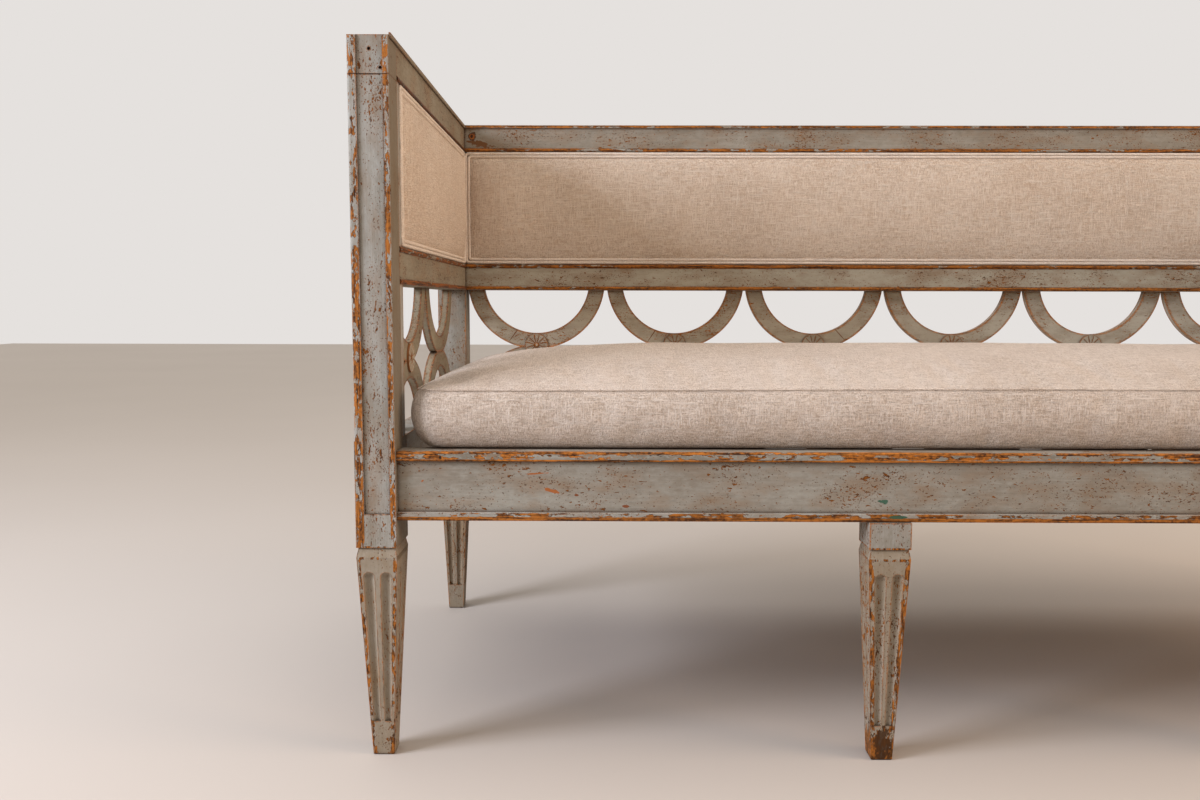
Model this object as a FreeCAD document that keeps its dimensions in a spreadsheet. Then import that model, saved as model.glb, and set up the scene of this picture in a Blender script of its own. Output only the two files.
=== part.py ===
import FreeCAD, Part
import Sketcher
import math
import os
import re

# A long painted settee in the neoclassical manner, in millimetres.
# X runs along its length, the sitter faces -Y, +Z is up, and the origin is on the floor
# under the middle of its bounding box.

DRIVING_SIZES = {
    # Back and arm openwork: how many arcs stand side by side, and how far apart.
    "back_arcs": 7,
    "arm_arcs": 2,
    "arc_pitch": 264.0,
    "back_arc_gap": 3.2,
    "arm_arc_gap": 0.6,
    "arm_end_gap": 19.6,
    "arc_band": 30.0,
    "arc_thickness": 12.0,
    "arc_set_back": 23.0,
    "opening_height": 198.0,
    "waist_rise": 90.5,
    "waist_overlap": 3.8,
    "rosette_radius": 21.5,
    "rosette_lift": 3.8,
    "rosette_thickness": 3.0,
    "rosette_boss_radius": 3.4,
    "rosette_boss_proud": 1.2,
    "petal_count": 12,
    "petal_groove": 1.3,
    "petal_groove_depth": 1.2,
    "petal_rim": 2.0,
    # Overall frame.
    "frame_depth": 676.0,
    "post_height": 920.0,
    "post_width": 52.0,
    "post_depth": 44.0,
    "rear_post_depth": 52.0,
    "edge_round": 4.0,
    "inner_edge_round": 1.5,
    # Legs, from the seat block down through the neck and the fluted taper to the foot.
    "leg_depth": 69.0,
    "mid_leg_width": 53.0,
    "mid_leg_depth": 52.0,
    "mid_leg_spacing": 594.0,
    "leg_block_drop": 34.5,
    "neck_height": 12.5,
    "neck_recess": 2.6,
    "foot_width": 27.7,
    "foot_depth": 27.2,
    "foot_bevel": 1.6,
    "flute_bottom": 47.0,
    "flute_stop": 27.0,
    "flute_hollow": 5.6,
    # Sunk field on the front of the front posts.
    "field_rise": 9.0,
    "field_depth": 2.6,
    "outer_border": 11.5,
    "inner_border": 8.0,
    # Loose-looking block that closes the top of each front post.
    "cap_height": 47.5,
    "cap_joint": 0.3,
    "nail_radius": 2.0,
    "nail_length": 26.0,
    "nail_sink": 3.0,
    "nail_edge": 17.0,
    "upper_nail_inset": 27.3,
    "lower_nail_inset": 41.0,
    # Seat frame.
    "seat_rail_bottom": 318.0,
    "front_rail_height": 89.0,
    "front_rail_set_back": 9.0,
    "front_rail_thickness": 32.0,
    "upper_moulding": 12.5,
    "lower_moulding": 11.0,
    "moulding_proud": 5.0,
    "side_rail_height": 102.0,
    "side_rail_thickness": 35.0,
    "rear_rail_thickness": 36.0,
    # Seat deck under the loose cushion.
    "slat_count": 11,
    "slat_width": 90.0,
    "slat_thickness": 16.0,
    "slat_clearance": 0.3,
    "ledger_size": 24.0,
    "bearer_width": 30.0,
    "bearer_height": 46.0,
    "corner_block_leg": 46.0,
    "corner_block_height": 40.0,
    # Rails, beads and capping strips of the back and the arms.
    "frame_thickness": 46.0,
    "strip_thickness": 6.0,
    "strip_proud": 3.0,
    "slip_set_back": 2.0,
    "post_rise": 4.0,
    "top_rail_height": 43.0,
    "mid_rail_height": 49.0,
    "top_bead": 3.6,
    "upper_bead": 4.0,
    "lower_bead": 3.7,
    "bead_sink": 1.5,
    "stile_width": 18.0,
    # Upholstered panels.
    "panel_clearance": 0.3,
    "panel_border": 11.8,
    "border_sink": 3.0,
    "panel_edge_proud": 0.4,
    "panel_crown": 11.0,
    "panel_padding": 26.0,
    "webbing_thickness": 3.0,
    "lining_thickness": 2.0,
    "lining_inset": 1.0,
    "arm_panel_start": 13.0,
    "welt_radius": 2.65,
    "welt_gap": 0.15,
    "welt_corner": 2.4,
    "welt_stop": 3.2,
    # Loose seat cushion.
    "cushion_end_gap": 15.0,
    "cushion_front": 20.0,
    "cushion_back_gap": 24.0,
    "cushion_box": 75.0,
    "cushion_crown": 46.0,
    "cushion_bulge": 8.0,
    "cushion_draw": 6.0,
    "cushion_corner": 34.0,
    "cushion_lift": 0.3,
    "cut_overrun": 5.0,
}

# Sizes that follow from the ones above, worked out in the sheet.
DERIVED_SIZES = {
    "back_length": "back_arcs * arc_pitch",
    "settee_length": "back_length + 2 * post_width",
    "arm_length": "frame_depth - rear_post_depth - post_depth",
    "back_arc_radius": "(arc_pitch - back_arc_gap) / 2",
    "arm_arc_pitch": "(arm_length - stile_width - 2 * arm_end_gap) / arm_arcs",
    "arm_arc_radius": "(arm_arc_pitch - arm_arc_gap) / 2",
    "leg_block_bottom": "seat_rail_bottom - leg_block_drop",
    "neck_bottom": "leg_block_bottom - neck_height",
    "flute_top": "neck_bottom - flute_stop",
    "field_bottom": "seat_rail_bottom + field_rise",
    "front_rail_top": "seat_rail_bottom + front_rail_height",
    "side_rail_top": "seat_rail_bottom + side_rail_height",
    "waist_height": "side_rail_top + waist_rise",
    "mid_rail_bottom": "side_rail_top + opening_height",
    "mid_rail_top": "mid_rail_bottom + mid_rail_height",
    "top_rail_top": "post_height - post_rise",
    "top_rail_bottom": "top_rail_top - top_rail_height",
    "cushion_depth": "frame_depth - rear_post_depth - cushion_front - cushion_back_gap",
}

# Shares of a leg face: where its two hollows lie and how wide they are.
FLUTE_CENTRE_SHARE = 0.22
FLUTE_WIDTH_SHARE = 0.29

# Where along the cushion its cross-sections stand, as shares of half its length, with how full
# the crown is there and how far its front and back edges reach, as shares of the whole.
CUSHION_STATION_SHARES = (
    (1.0, 0.0, 0.0),
    (0.985, 0.3, 0.62),
    (0.94, 0.66, 1.0),
    (0.78, 0.95, 0.8),
    (0.42, 1.0, 0.35),
    (0.0, 1.0, 0.3),
)

document = FreeCAD.newDocument("settee")
sheet = document.addObject("Spreadsheet::Sheet", "sizes")
cells = [(alias, repr(value)) for alias, value in DRIVING_SIZES.items()]
cells += [(alias, "=" + formula) for alias, formula in DERIVED_SIZES.items()]
for row_number, (alias, content) in enumerate(cells, start=1):
    sheet.set("A%d" % row_number, alias)
    sheet.set("B%d" % row_number, content)
    sheet.setAlias("B%d" % row_number, alias)
document.recompute()

ALIAS_PATTERN = re.compile(r"\b(%s)\b" % "|".join(alias for alias, content in cells))
pieces = []


def size(formula):
    """The value of a sum written in the sheet's aliases, read from the sheet."""
    values = {alias: float(sheet.get(alias)) for alias in set(ALIAS_PATTERN.findall(formula))}
    return float(FreeCAD.Units.Quantity(ALIAS_PATTERN.sub(lambda m: repr(values[m.group(1)]), formula)).Value)


def bind(feature, **formulas):
    """Bind properties of a feature to sums written in the sheet's aliases."""
    for prop, formula in formulas.items():
        feature.setExpression(prop.replace("__", "."), ALIAS_PATTERN.sub(r"sizes.\1", str(formula)))
    return feature


def place(feature, x="0", y="0", z="0"):
    """Bind where a feature stands."""
    return bind(feature, Placement__Base__x=x, Placement__Base__y=y, Placement__Base__z=z)


def box(name, length, width, height, x="0", y="0", z="0"):
    """A box with its lowest corner at x, y, z."""
    feature = bind(document.addObject("Part::Box", name), Length=length, Width=width, Height=height)
    return place(feature, x, y, z)


def fuse(name, *features):
    """One solid made of several that overlap or touch."""
    feature = document.addObject("Part::MultiFuse", name)
    feature.Shapes = list(features)
    feature.Refine = True
    return feature


def cut(name, base, *tools):
    """A solid with the tools taken out of it."""
    feature = document.addObject("Part::Cut", name)
    feature.Base = base
    feature.Tool = tools[0] if len(tools) == 1 else fuse(name + "_tools", *tools)
    feature.Refine = True
    return feature


def rounded(name, base, *roundings):
    """A box with rounded edges: each rounding is a tuple of edge numbers and their radius."""
    feature = document.addObject("Part::Fillet", name)
    feature.Base = base
    document.recompute()
    feature.Edges = [(edge, size(radius), size(radius)) for edges, radius in roundings for edge in edges]
    return feature


def piece(label, feature, placement=None):
    """Keep a feature as a sub-part of the settee, under its own name."""
    feature.Label = label
    if placement is not None:
        feature.Placement = placement
    pieces.append(feature)
    return feature


def shaped(label, shape, placement=None):
    """A sub-part whose shape is worked out with the kernel's own functions."""
    feature = document.addObject("Part::Feature", label)
    feature.Shape = shape
    return piece(label, feature, placement)


def sketch_body(name, role, points):
    """A body with one closed sketch on an origin plane, every corner bound to the sheet."""
    body = document.addObject("PartDesign::Body", name)
    plane = next(item for item in body.Origin.OriginFeatures if item.Role == role)
    sketch = body.newObject("Sketcher::SketchObject", name + "_outline")
    sketch.AttachmentSupport = [(plane, "")]
    sketch.MapMode = "FlatFace"
    corners = [FreeCAD.Vector(size(u), size(v), 0) for u, v in points]
    for index, corner in enumerate(corners):
        sketch.addGeometry(Part.LineSegment(corner, corners[(index + 1) % len(corners)]), False)
    for index in range(len(corners)):
        sketch.addConstraint(Sketcher.Constraint("Coincident", index, 2, (index + 1) % len(corners), 1))
    for index, (u, v) in enumerate(points):
        for kind, formula in (("DistanceX", u), ("DistanceY", v)):
            number = sketch.addConstraint(Sketcher.Constraint(kind, -1, 1, index, 1, size(formula)))
            sketch.setExpression("Constraints[%d]" % number, ALIAS_PATTERN.sub(r"sizes.\1", formula))
    return body, sketch


def padded_body(name, role, points, length):
    """A body made by padding one outline by a length."""
    body, sketch = sketch_body(name, role, points)
    pad = body.newObject("PartDesign::Pad", name + "_pad")
    pad.Profile = sketch
    bind(pad, Length=length)
    body.Tip = pad
    return body


# Places of the three upholstered frames. Each is built with its face on its own XZ plane, its
# length along its own X, and is then turned to stand at the back or at an arm.
UP = FreeCAD.Vector(0, 0, 1)


def standing(x, y, turn=0.0):
    """A placement on the floor plan, turned about the vertical by a number of degrees."""
    return FreeCAD.Placement(FreeCAD.Vector(size(x), size(y), 0), FreeCAD.Rotation(UP, turn))


BACK_PLACE = standing("-back_length / 2", "frame_depth / 2 - rear_post_depth")
LEFT_ARM_PLACE = standing("-back_length / 2", "post_depth - frame_depth / 2", 90.0)
RIGHT_ARM_PLACE = standing("back_length / 2", "frame_depth / 2 - rear_post_depth", -90.0)


def wedge(name, low, high, bottom, height):
    """A block that tapers along Z between two rectangles, each given as x0, x1, y0, y1."""
    feature = document.addObject("Part::Wedge", name)
    bind(feature, Ymin="0", Ymax=height,
         Xmin=low[0], Xmax=low[1], Zmin="-(%s)" % low[3], Zmax="-(%s)" % low[2],
         X2min=high[0], X2max=high[1], Z2min="-(%s)" % high[3], Z2max="-(%s)" % high[2])
    feature.Placement = FreeCAD.Placement(
        FreeCAD.Vector(0, 0, size(bottom)), FreeCAD.Rotation(FreeCAD.Vector(1, 0, 0), 90.0))
    return bind(feature, Placement__Base__z=bottom)


def rod_between(start, end, start_radius, end_radius):
    """A cone from one point to another, with a round end at the second."""
    axis = end - start
    cone = Part.makeCone(start_radius, end_radius, axis.Length, start, axis)
    return cone.fuse(Part.makeSphere(end_radius, end))


def flute_tools(name, width, depth):
    """The eight hollows of one leg: two on each face, narrowing with the leg."""
    neck_bottom = size("neck_bottom")
    full = (size(width), size(depth))
    foot = (size("foot_width"), size("foot_depth"))
    hollow = size("flute_hollow")
    centre = (full[0] / 2, full[1] / 2)

    def half_extent(axis, height):
        share = height / neck_bottom
        return (foot[axis] + (full[axis] - foot[axis]) * share) / 2

    def flute_at(axis, side, across, height):
        """Centre and radius of a hollow on the face across the given axis."""
        other = 1 - axis
        chord = FLUTE_WIDTH_SHARE * 2 * half_extent(other, height)
        deep = hollow * half_extent(0, height) * 2 / full[0]
        radius = (chord * chord / 4 + deep * deep) / (2 * deep)
        spot = [0.0, 0.0]
        spot[axis] = centre[axis] + side * (half_extent(axis, height) + radius - deep)
        spot[other] = centre[other] + across * FLUTE_CENTRE_SHARE * 2 * half_extent(other, height)
        return FreeCAD.Vector(spot[0], spot[1], height), radius

    rods = []
    for axis in (0, 1):
        for side in (-1, 1):
            for across in (-1, 1):
                low, low_radius = flute_at(axis, side, across, size("flute_bottom"))
                high, high_radius = flute_at(axis, side, across, size("flute_top"))
                rods.append(rod_between(low, high, low_radius, high_radius))
    feature = document.addObject("Part::Feature", name)
    feature.Shape = Part.makeCompound(rods)
    return feature


def leg(name, width, depth, block_top):
    """Seat block, neck and fluted taper of one leg, as the features to be fused."""
    inset_x = "((%s - foot_width) / 2)" % width
    inset_y = "((%s - foot_depth) / 2)" % depth
    full = ("0", width, "0", depth)
    necked = ("neck_recess", "%s - neck_recess" % width, "neck_recess", "%s - neck_recess" % depth)
    foot = (inset_x, "%s + foot_width" % inset_x, inset_y, "%s + foot_depth" % inset_y)
    sole = tuple("%s %s foot_bevel" % (edge, sign) for edge, sign in zip(foot, "+-+-"))
    block = box(name + "_block", width, depth, "%s - leg_block_bottom" % block_top, z="leg_block_bottom")
    neck = wedge(name + "_neck", full, necked, "neck_bottom", "neck_height")
    taper = wedge(name + "_taper", foot, full, "foot_bevel", "neck_bottom - foot_bevel")
    sole_bevel = wedge(name + "_sole", sole, foot, "0", "foot_bevel")
    hollows = flute_tools(name + "_flutes", width, depth)
    shaft = cut(name + "_shaft", taper, hollows)
    return [block, neck, shaft, sole_bevel]


def sunk_field(name, left_border, right_border, bottom, top):
    """The tool that sinks the flat field between the two borders of a front post."""
    return box(name, "post_width - %s - %s" % (left_border, right_border),
               "field_depth + cut_overrun", "%s - (%s) + cut_overrun" % (top, bottom),
               x=left_border, y="-cut_overrun", z=bottom)


# Where the nails stand: how far in from the post's outer edge, and how high.
NAIL_PLACES = (("upper_nail_inset", "post_height - nail_edge"),
               ("lower_nail_inset", "post_height - cap_height + nail_radius * 4"))


def nail_places(outer_first):
    """The nails' places in a post's own X and Z, for a post whose outer edge comes first or last."""
    return [(inset if outer_first else "post_width - " + inset, height) for inset, height in NAIL_PLACES]


def nail(x, z):
    """One cut nail, driven in square to the front face and left a little below it."""
    return Part.makeCylinder(size("nail_radius"), size("nail_length"),
                             FreeCAD.Vector(size(x), size("field_depth + nail_sink"), size(z)),
                             FreeCAD.Vector(0, 1, 0))


def nail_hole(name, x, z):
    """The hole that a nail stands in."""
    feature = document.addObject("Part::Cylinder", name)
    bind(feature, Radius="nail_radius", Height="nail_length + nail_sink + field_depth")
    feature.Placement = FreeCAD.Placement(FreeCAD.Vector(), FreeCAD.Rotation(FreeCAD.Vector(1, 0, 0), -90.0))
    return place(feature, x, "0", z)


def front_post(side, left, right, placement):
    """A front corner post in one piece with its leg, and the block that closes its top.

    Left and right each hold the width of the field's border and the rounding of the post's edge.
    """
    (left_border, left_round), (right_border, right_round) = left, right
    name = "front_post_" + side
    legs = leg(name, "post_width", "leg_depth", "side_rail_top")
    joint = "post_height - cap_height"
    shaft = rounded(name + "_shaft_round", box(
        name + "_upper", "post_width", "post_depth", "%s - side_rail_top" % joint, z="side_rail_top"),
        ((1,), left_round), ((5,), right_round))
    solid = fuse(name + "_whole", shaft, *legs)
    field = sunk_field(name + "_field", left_border, right_border, "field_bottom", joint)
    piece(name, cut(name, solid, field), placement)

    name = "post_cap_" + side
    block = rounded(name + "_round", box(
        name + "_block", "post_width", "post_depth", "cap_height - cap_joint", z=joint + " + cap_joint"),
        ((1,), left_round), ((5,), right_round), ((10,), "edge_round"))
    field = sunk_field(name + "_field", left_border, right_border, joint, "post_height")
    holes = [nail_hole("%s_hole_%d" % (name, number), x, z)
             for number, (x, z) in enumerate(nail_places(side == "left"), start=1)]
    piece(name, cut(name, block, field, *holes), placement)


FRONT_LEFT = standing("-settee_length / 2", "-frame_depth / 2")
FRONT_RIGHT = standing("settee_length / 2 - post_width", "-frame_depth / 2")
REAR_LEFT = standing("-settee_length / 2", "frame_depth / 2 - rear_post_depth")
REAR_RIGHT = standing("settee_length / 2 - post_width", "frame_depth / 2 - rear_post_depth")

OUTER_SIDE = ("outer_border", "edge_round")
INNER_SIDE = ("inner_border", "inner_edge_round")
front_post("left", OUTER_SIDE, INNER_SIDE, FRONT_LEFT)
front_post("right", INNER_SIDE, OUTER_SIDE, FRONT_RIGHT)

shaped("cap_nails", Part.makeCompound([
    nail(x, z).transformed(place_of.toMatrix())
    for place_of in (FRONT_LEFT, FRONT_RIGHT) for x, z in nail_places(place_of is FRONT_LEFT)]))

for side, placement in (("left", REAR_LEFT), ("right", REAR_RIGHT)):
    name = "rear_post_" + side
    piece(name, fuse(name, *leg(name, "post_width", "rear_post_depth", "top_rail_top")), placement)

for side, sign in (("left", "-"), ("right", "+")):
    name = "mid_front_leg_" + side
    piece(name, fuse(name, *leg(name, "mid_leg_width", "mid_leg_depth", "seat_rail_bottom")),
          standing("0 %s mid_leg_spacing / 2 - mid_leg_width / 2" % sign, "-frame_depth / 2"))


def seat_frame():
    """The four rails under the seat, and the two mouldings on the front one."""
    front = padded_body("front_seat_rail", "YZ_Plane", (
        ("0", "seat_rail_bottom"), ("front_rail_thickness", "seat_rail_bottom"),
        ("front_rail_thickness", "front_rail_top"), ("0", "front_rail_top")), "back_length")
    piece("front_seat_rail", front, standing("-back_length / 2", "front_rail_set_back - frame_depth / 2"))

    for label, height, bottom in (
            ("front_rail_upper_moulding", "upper_moulding", "front_rail_top - upper_moulding"),
            ("front_rail_lower_moulding", "lower_moulding", "seat_rail_bottom")):
        strip = box(label + "_strip", "back_length", "moulding_proud", height, z=bottom)
        rounding = rounded(label, strip, ((9, 10), "moulding_proud / 3"))
        piece(label, rounding, standing(
            "-back_length / 2", "front_rail_set_back - moulding_proud - frame_depth / 2"))

    rear = padded_body("rear_seat_rail", "YZ_Plane", (
        ("frame_depth / 2 - rear_rail_thickness", "seat_rail_bottom"),
        ("frame_depth / 2", "seat_rail_bottom"),
        ("frame_depth / 2", "side_rail_top"),
        ("frame_depth / 2 - rear_rail_thickness", "side_rail_top")), "back_length")
    piece("rear_seat_rail", rear, standing("-back_length / 2", "0"))

    run = "(frame_depth - rear_post_depth - leg_depth)"
    for side, start in (("left", "-back_length / 2 - side_rail_thickness"),
                        ("right", "back_length / 2")):
        rail = padded_body("side_seat_rail_" + side, "XY_Plane", (
            ("0", "0"), ("side_rail_thickness", "0"),
            ("side_rail_thickness", run), ("0", run)), "side_rail_top - seat_rail_bottom")
        placement = standing(start, "leg_depth - frame_depth / 2")
        placement.Base.z = size("seat_rail_bottom")
        piece("side_seat_rail_" + side, rail, placement)


seat_frame()


def seat_deck():
    """Slats, the ledgers and bearers that carry them, and the blocks glued into the corners."""
    inner_front = "(front_rail_set_back + front_rail_thickness - frame_depth / 2)"
    inner_rear = "(frame_depth / 2 - rear_rail_thickness)"
    span = "(%s - %s)" % (inner_rear, inner_front)
    underside = "(front_rail_top - slat_thickness)"

    slat = padded_body("slat_pattern", "XY_Plane", (
        ("0", "0"), ("slat_width", "0"),
        ("slat_width", "%s - 2 * slat_clearance" % span), ("0", "%s - 2 * slat_clearance" % span)),
        "slat_thickness")
    document.recompute()
    count = int(size("slat_count"))
    step = size("(back_length - slat_width - 2 * post_width) / (slat_count - 1)")
    first = size("post_width - back_length / 2")
    shaped("seat_slats", Part.makeCompound([
        slat.Shape.translated(FreeCAD.Vector(first + number * step, size(inner_front + " + slat_clearance"),
                                             size(underside))) for number in range(count)]))

    ledger = box("ledger_bar", "back_length - 2 * slat_clearance", "ledger_size", "ledger_size")
    document.recompute()
    ledger_start = size("slat_clearance - back_length / 2")
    places = [FreeCAD.Vector(ledger_start, size(y), size(underside + " - ledger_size"))
              for y in (inner_front, inner_rear + " - ledger_size")]
    shaped("seat_ledgers", Part.makeCompound([ledger.Shape.translated(spot) for spot in places]))

    bearer = box("bearer_bar", "bearer_width", span + " - 2 * ledger_size", "bearer_height")
    document.recompute()
    places = [FreeCAD.Vector(size("0 %s mid_leg_spacing / 2 - bearer_width / 2" % sign),
                             size(inner_front + " + ledger_size"), size(underside + " - bearer_height"))
              for sign in "-+"]
    shaped("seat_bearers", Part.makeCompound([bearer.Shape.translated(spot) for spot in places]))

    block = padded_body("corner_block_pattern", "XY_Plane", (
        ("0", "0"), ("corner_block_leg", "0"), ("0", "corner_block_leg")), "corner_block_height")
    document.recompute()
    half = size("back_length / 2")
    level = size(underside + " - ledger_size - corner_block_height")
    corners = []
    for x, y, turn in ((-half, size(inner_front), 0.0), (half, size(inner_front), 90.0),
                       (half, size(inner_rear), 180.0), (-half, size(inner_rear), 270.0)):
        spot = FreeCAD.Placement(FreeCAD.Vector(x, y, level), FreeCAD.Rotation(UP, turn))
        corners.append(block.Shape.transformed(spot.toMatrix()))
    shaped("corner_blocks", Part.makeCompound(corners))


seat_deck()


def bead(name, start, length, radius, z):
    """A rounded bead along the face of a rail."""
    feature = document.addObject("Part::Cylinder", name)
    bind(feature, Radius=radius, Height=length)
    feature.Placement = FreeCAD.Placement(FreeCAD.Vector(), FreeCAD.Rotation(FreeCAD.Vector(0, 1, 0), 90.0))
    return place(feature, start, "bead_sink", z)


def openwork_frame(where, length, placement, strip_run, strip_depth, bead_run, slip_start=None):
    """Top rail, capping strip and middle rail of the back or of one arm.

    The strip and the beads have runs of their own, each a start and a length, because those of
    the arms stop short of the ones on the back. An arm's strip runs on as a narrow slip along the
    inner face of the front post.
    """
    rail = box(where + "_top_core", length, "frame_thickness", "top_rail_height", z="top_rail_bottom")
    lower = bead(where + "_top_bead", *bead_run, "top_bead", "top_rail_bottom + top_bead")
    label = where + "_top_rail"
    piece(label, fuse(label, rail, lower), placement)

    strip = box(where + "_strip", strip_run[1], strip_depth + " + strip_proud", "strip_thickness",
                x=strip_run[0], y="-strip_proud", z="top_rail_top")
    label = where + "_top_strip"
    strip = rounded(where + "_strip_round", strip, ((9, 10), "strip_thickness / 4"))
    if slip_start is not None:
        slip = box(where + "_slip", "post_depth - slip_set_back", "strip_proud", "strip_thickness",
                   x=slip_start, y="-strip_proud", z="top_rail_top")
        slip = rounded(where + "_slip_round", slip, ((9, 10), "strip_thickness / 4"))
        strip = fuse(where + "_strip_whole", strip, slip)
    piece(label, strip, placement)

    rail = box(where + "_mid_core", length, "frame_thickness", "mid_rail_height", z="mid_rail_bottom")
    upper = bead(where + "_mid_upper_bead", *bead_run, "upper_bead", "mid_rail_top - upper_bead")
    lower = bead(where + "_mid_lower_bead", *bead_run, "lower_bead", "mid_rail_bottom + lower_bead")
    label = where + "_mid_rail"
    piece(label, fuse(label, rail, upper, lower), placement)


LEFT_ARM_RUN = ("0", "arm_length - strip_proud")
RIGHT_ARM_RUN = ("strip_proud", "arm_length - strip_proud")
openwork_frame("back", "back_length", BACK_PLACE, ("-post_width", "settee_length"), "rear_post_depth",
               ("0", "back_length"))
openwork_frame("left_arm", "arm_length", LEFT_ARM_PLACE, LEFT_ARM_RUN, "frame_thickness", LEFT_ARM_RUN,
               "slip_set_back - post_depth")
openwork_frame("right_arm", "arm_length", RIGHT_ARM_PLACE, RIGHT_ARM_RUN, "frame_thickness", RIGHT_ARM_RUN,
               "arm_length")


def arm_stiles(side, placement, from_front):
    """The upright strips between an arm's rails, beside its front post."""
    start = "0" if from_front else "arm_length - stile_width"
    lower = box(side + "_stile_low", "stile_width", "frame_thickness", "mid_rail_bottom - side_rail_top",
                x=start, z="side_rail_top")
    start = "0" if from_front else "arm_length - arm_panel_start"
    upper = box(side + "_stile_high", "arm_panel_start", "frame_thickness", "top_rail_bottom - mid_rail_top",
                x=start, z="mid_rail_top")
    document.recompute()
    shaped(side + "_arm_stiles", Part.makeCompound([lower.Shape, upper.Shape]), placement)


arm_stiles("left", LEFT_ARM_PLACE, True)
arm_stiles("right", RIGHT_ARM_PLACE, False)


def disc(name, radius, thickness, x, y, z):
    """A round plate that stands upright, its face towards -Y."""
    feature = document.addObject("Part::Cylinder", name)
    bind(feature, Radius=radius, Height=thickness)
    feature.Placement = FreeCAD.Placement(FreeCAD.Vector(), FreeCAD.Rotation(FreeCAD.Vector(1, 0, 0), -90.0))
    return place(feature, x, y, z)


def arc(name, radius, centre_x, upper):
    """One sawn arc: a ring cut off at the waist and at the rail that it meets."""
    centre_z = "waist_height %s (%s - waist_overlap)" % ("+" if upper else "-", radius)
    low, high = ("waist_height", "mid_rail_bottom") if upper else ("side_rail_top", "waist_height")
    outer = disc(name + "_outer", radius, "arc_thickness", centre_x, "arc_set_back", centre_z)
    inner = disc(name + "_inner", radius + " - arc_band", "arc_thickness + 2 * cut_overrun", centre_x,
                 "arc_set_back - cut_overrun", centre_z)
    window = box(name + "_window", "2 * %s + 2 * cut_overrun" % radius, "arc_thickness", high + " - " + low,
                 x="%s - %s - cut_overrun" % (centre_x, radius), y="arc_set_back", z=low)
    feature = document.addObject("Part::Common", name)
    feature.Base = cut(name + "_ring", outer, inner)
    feature.Tool = window
    return feature


for number in range(1, int(size("back_arcs")) + 1):
    centre = "(%d - 0.5) * arc_pitch" % number
    for kind in ("upper", "lower"):
        label = "back_%s_arc_%d" % (kind, number)
        piece(label, arc(label, "back_arc_radius", centre, kind == "upper"), BACK_PLACE)


def arm_arc_centre(number, from_front):
    """Where an arc of an arm is centred along the arm's own X, counted from the front post."""
    from_post = "(stile_width + arm_end_gap + (%d + 0.5) * arm_arc_pitch)" % number
    return from_post if from_front else "(arm_length - %s)" % from_post


for side, placement, from_front in (("left", LEFT_ARM_PLACE, True), ("right", RIGHT_ARM_PLACE, False)):
    for kind in ("upper", "lower"):
        arcs = [arc("%s_arm_%s_arc_%d" % (side, kind, number + 1), "arm_arc_radius",
                    arm_arc_centre(number, from_front), kind == "upper")
                for number in range(int(size("arm_arcs")))]
        document.recompute()
        shaped("%s_arm_%s_arcs" % (side, kind), Part.makeCompound([item.Shape for item in arcs]), placement)


def rosette_body():
    """A flat disc with a raised button and straight radial cuts that part its petals."""
    body = document.addObject("PartDesign::Body", "rosette_pattern")
    planes = {item.Role: item for item in body.Origin.OriginFeatures}

    def circle_sketch(name, radius):
        sketch = body.newObject("Sketcher::SketchObject", name)
        sketch.AttachmentSupport = [(planes["XZ_Plane"], "")]
        sketch.MapMode = "FlatFace"
        sketch.addGeometry(Part.Circle(FreeCAD.Vector(), FreeCAD.Vector(0, 0, 1), size(radius)), False)
        sketch.addConstraint(Sketcher.Constraint("Coincident", 0, 3, -1, 1))
        number = sketch.addConstraint(Sketcher.Constraint("Radius", 0, size(radius)))
        sketch.setExpression("Constraints[%d]" % number, ALIAS_PATTERN.sub(r"sizes.\1", radius))
        return sketch

    plate = body.newObject("PartDesign::Pad", "rosette_plate")
    plate.Profile = circle_sketch("rosette_round", "rosette_radius")
    bind(plate, Length="rosette_thickness")
    button = body.newObject("PartDesign::Pad", "rosette_button")
    button.Profile = circle_sketch("button_round", "rosette_boss_radius")
    bind(button, Length="rosette_thickness + rosette_boss_proud")
    body.Tip = button
    document.recompute()
    solid = body.Shape
    start = size("rosette_boss_radius + petal_groove / 2")
    end = size("rosette_radius - petal_rim")
    corner = FreeCAD.Vector(start, -size("rosette_thickness + cut_overrun"), -size("petal_groove / 2"))
    groove = Part.makeBox(end - start, size("petal_groove_depth + cut_overrun"), size("petal_groove"), corner)
    count = int(size("petal_count"))
    tools = [groove.rotated(FreeCAD.Vector(), FreeCAD.Vector(0, 1, 0), (number + 0.5) * 360.0 / count)
             for number in range(count)]
    return solid.cut(Part.makeCompound(tools))


ROSETTE = rosette_body()


def rosette_at(x):
    """A rosette glued to the face of the arcs, over the waist where they meet."""
    return ROSETTE.translated(
        FreeCAD.Vector(size(x), size("arc_set_back"), size("waist_height + rosette_lift")))


shaped("back_rosettes", Part.makeCompound(
    [rosette_at("(%d + 0.5) * arc_pitch" % number) for number in range(int(size("back_arcs")))]), BACK_PLACE)
shaped("arm_rosettes", Part.makeCompound(
    [rosette_at(arm_arc_centre(0, from_front)).transformed(placement.toMatrix())
     for placement, from_front in ((LEFT_ARM_PLACE, True), (RIGHT_ARM_PLACE, False))]))


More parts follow.
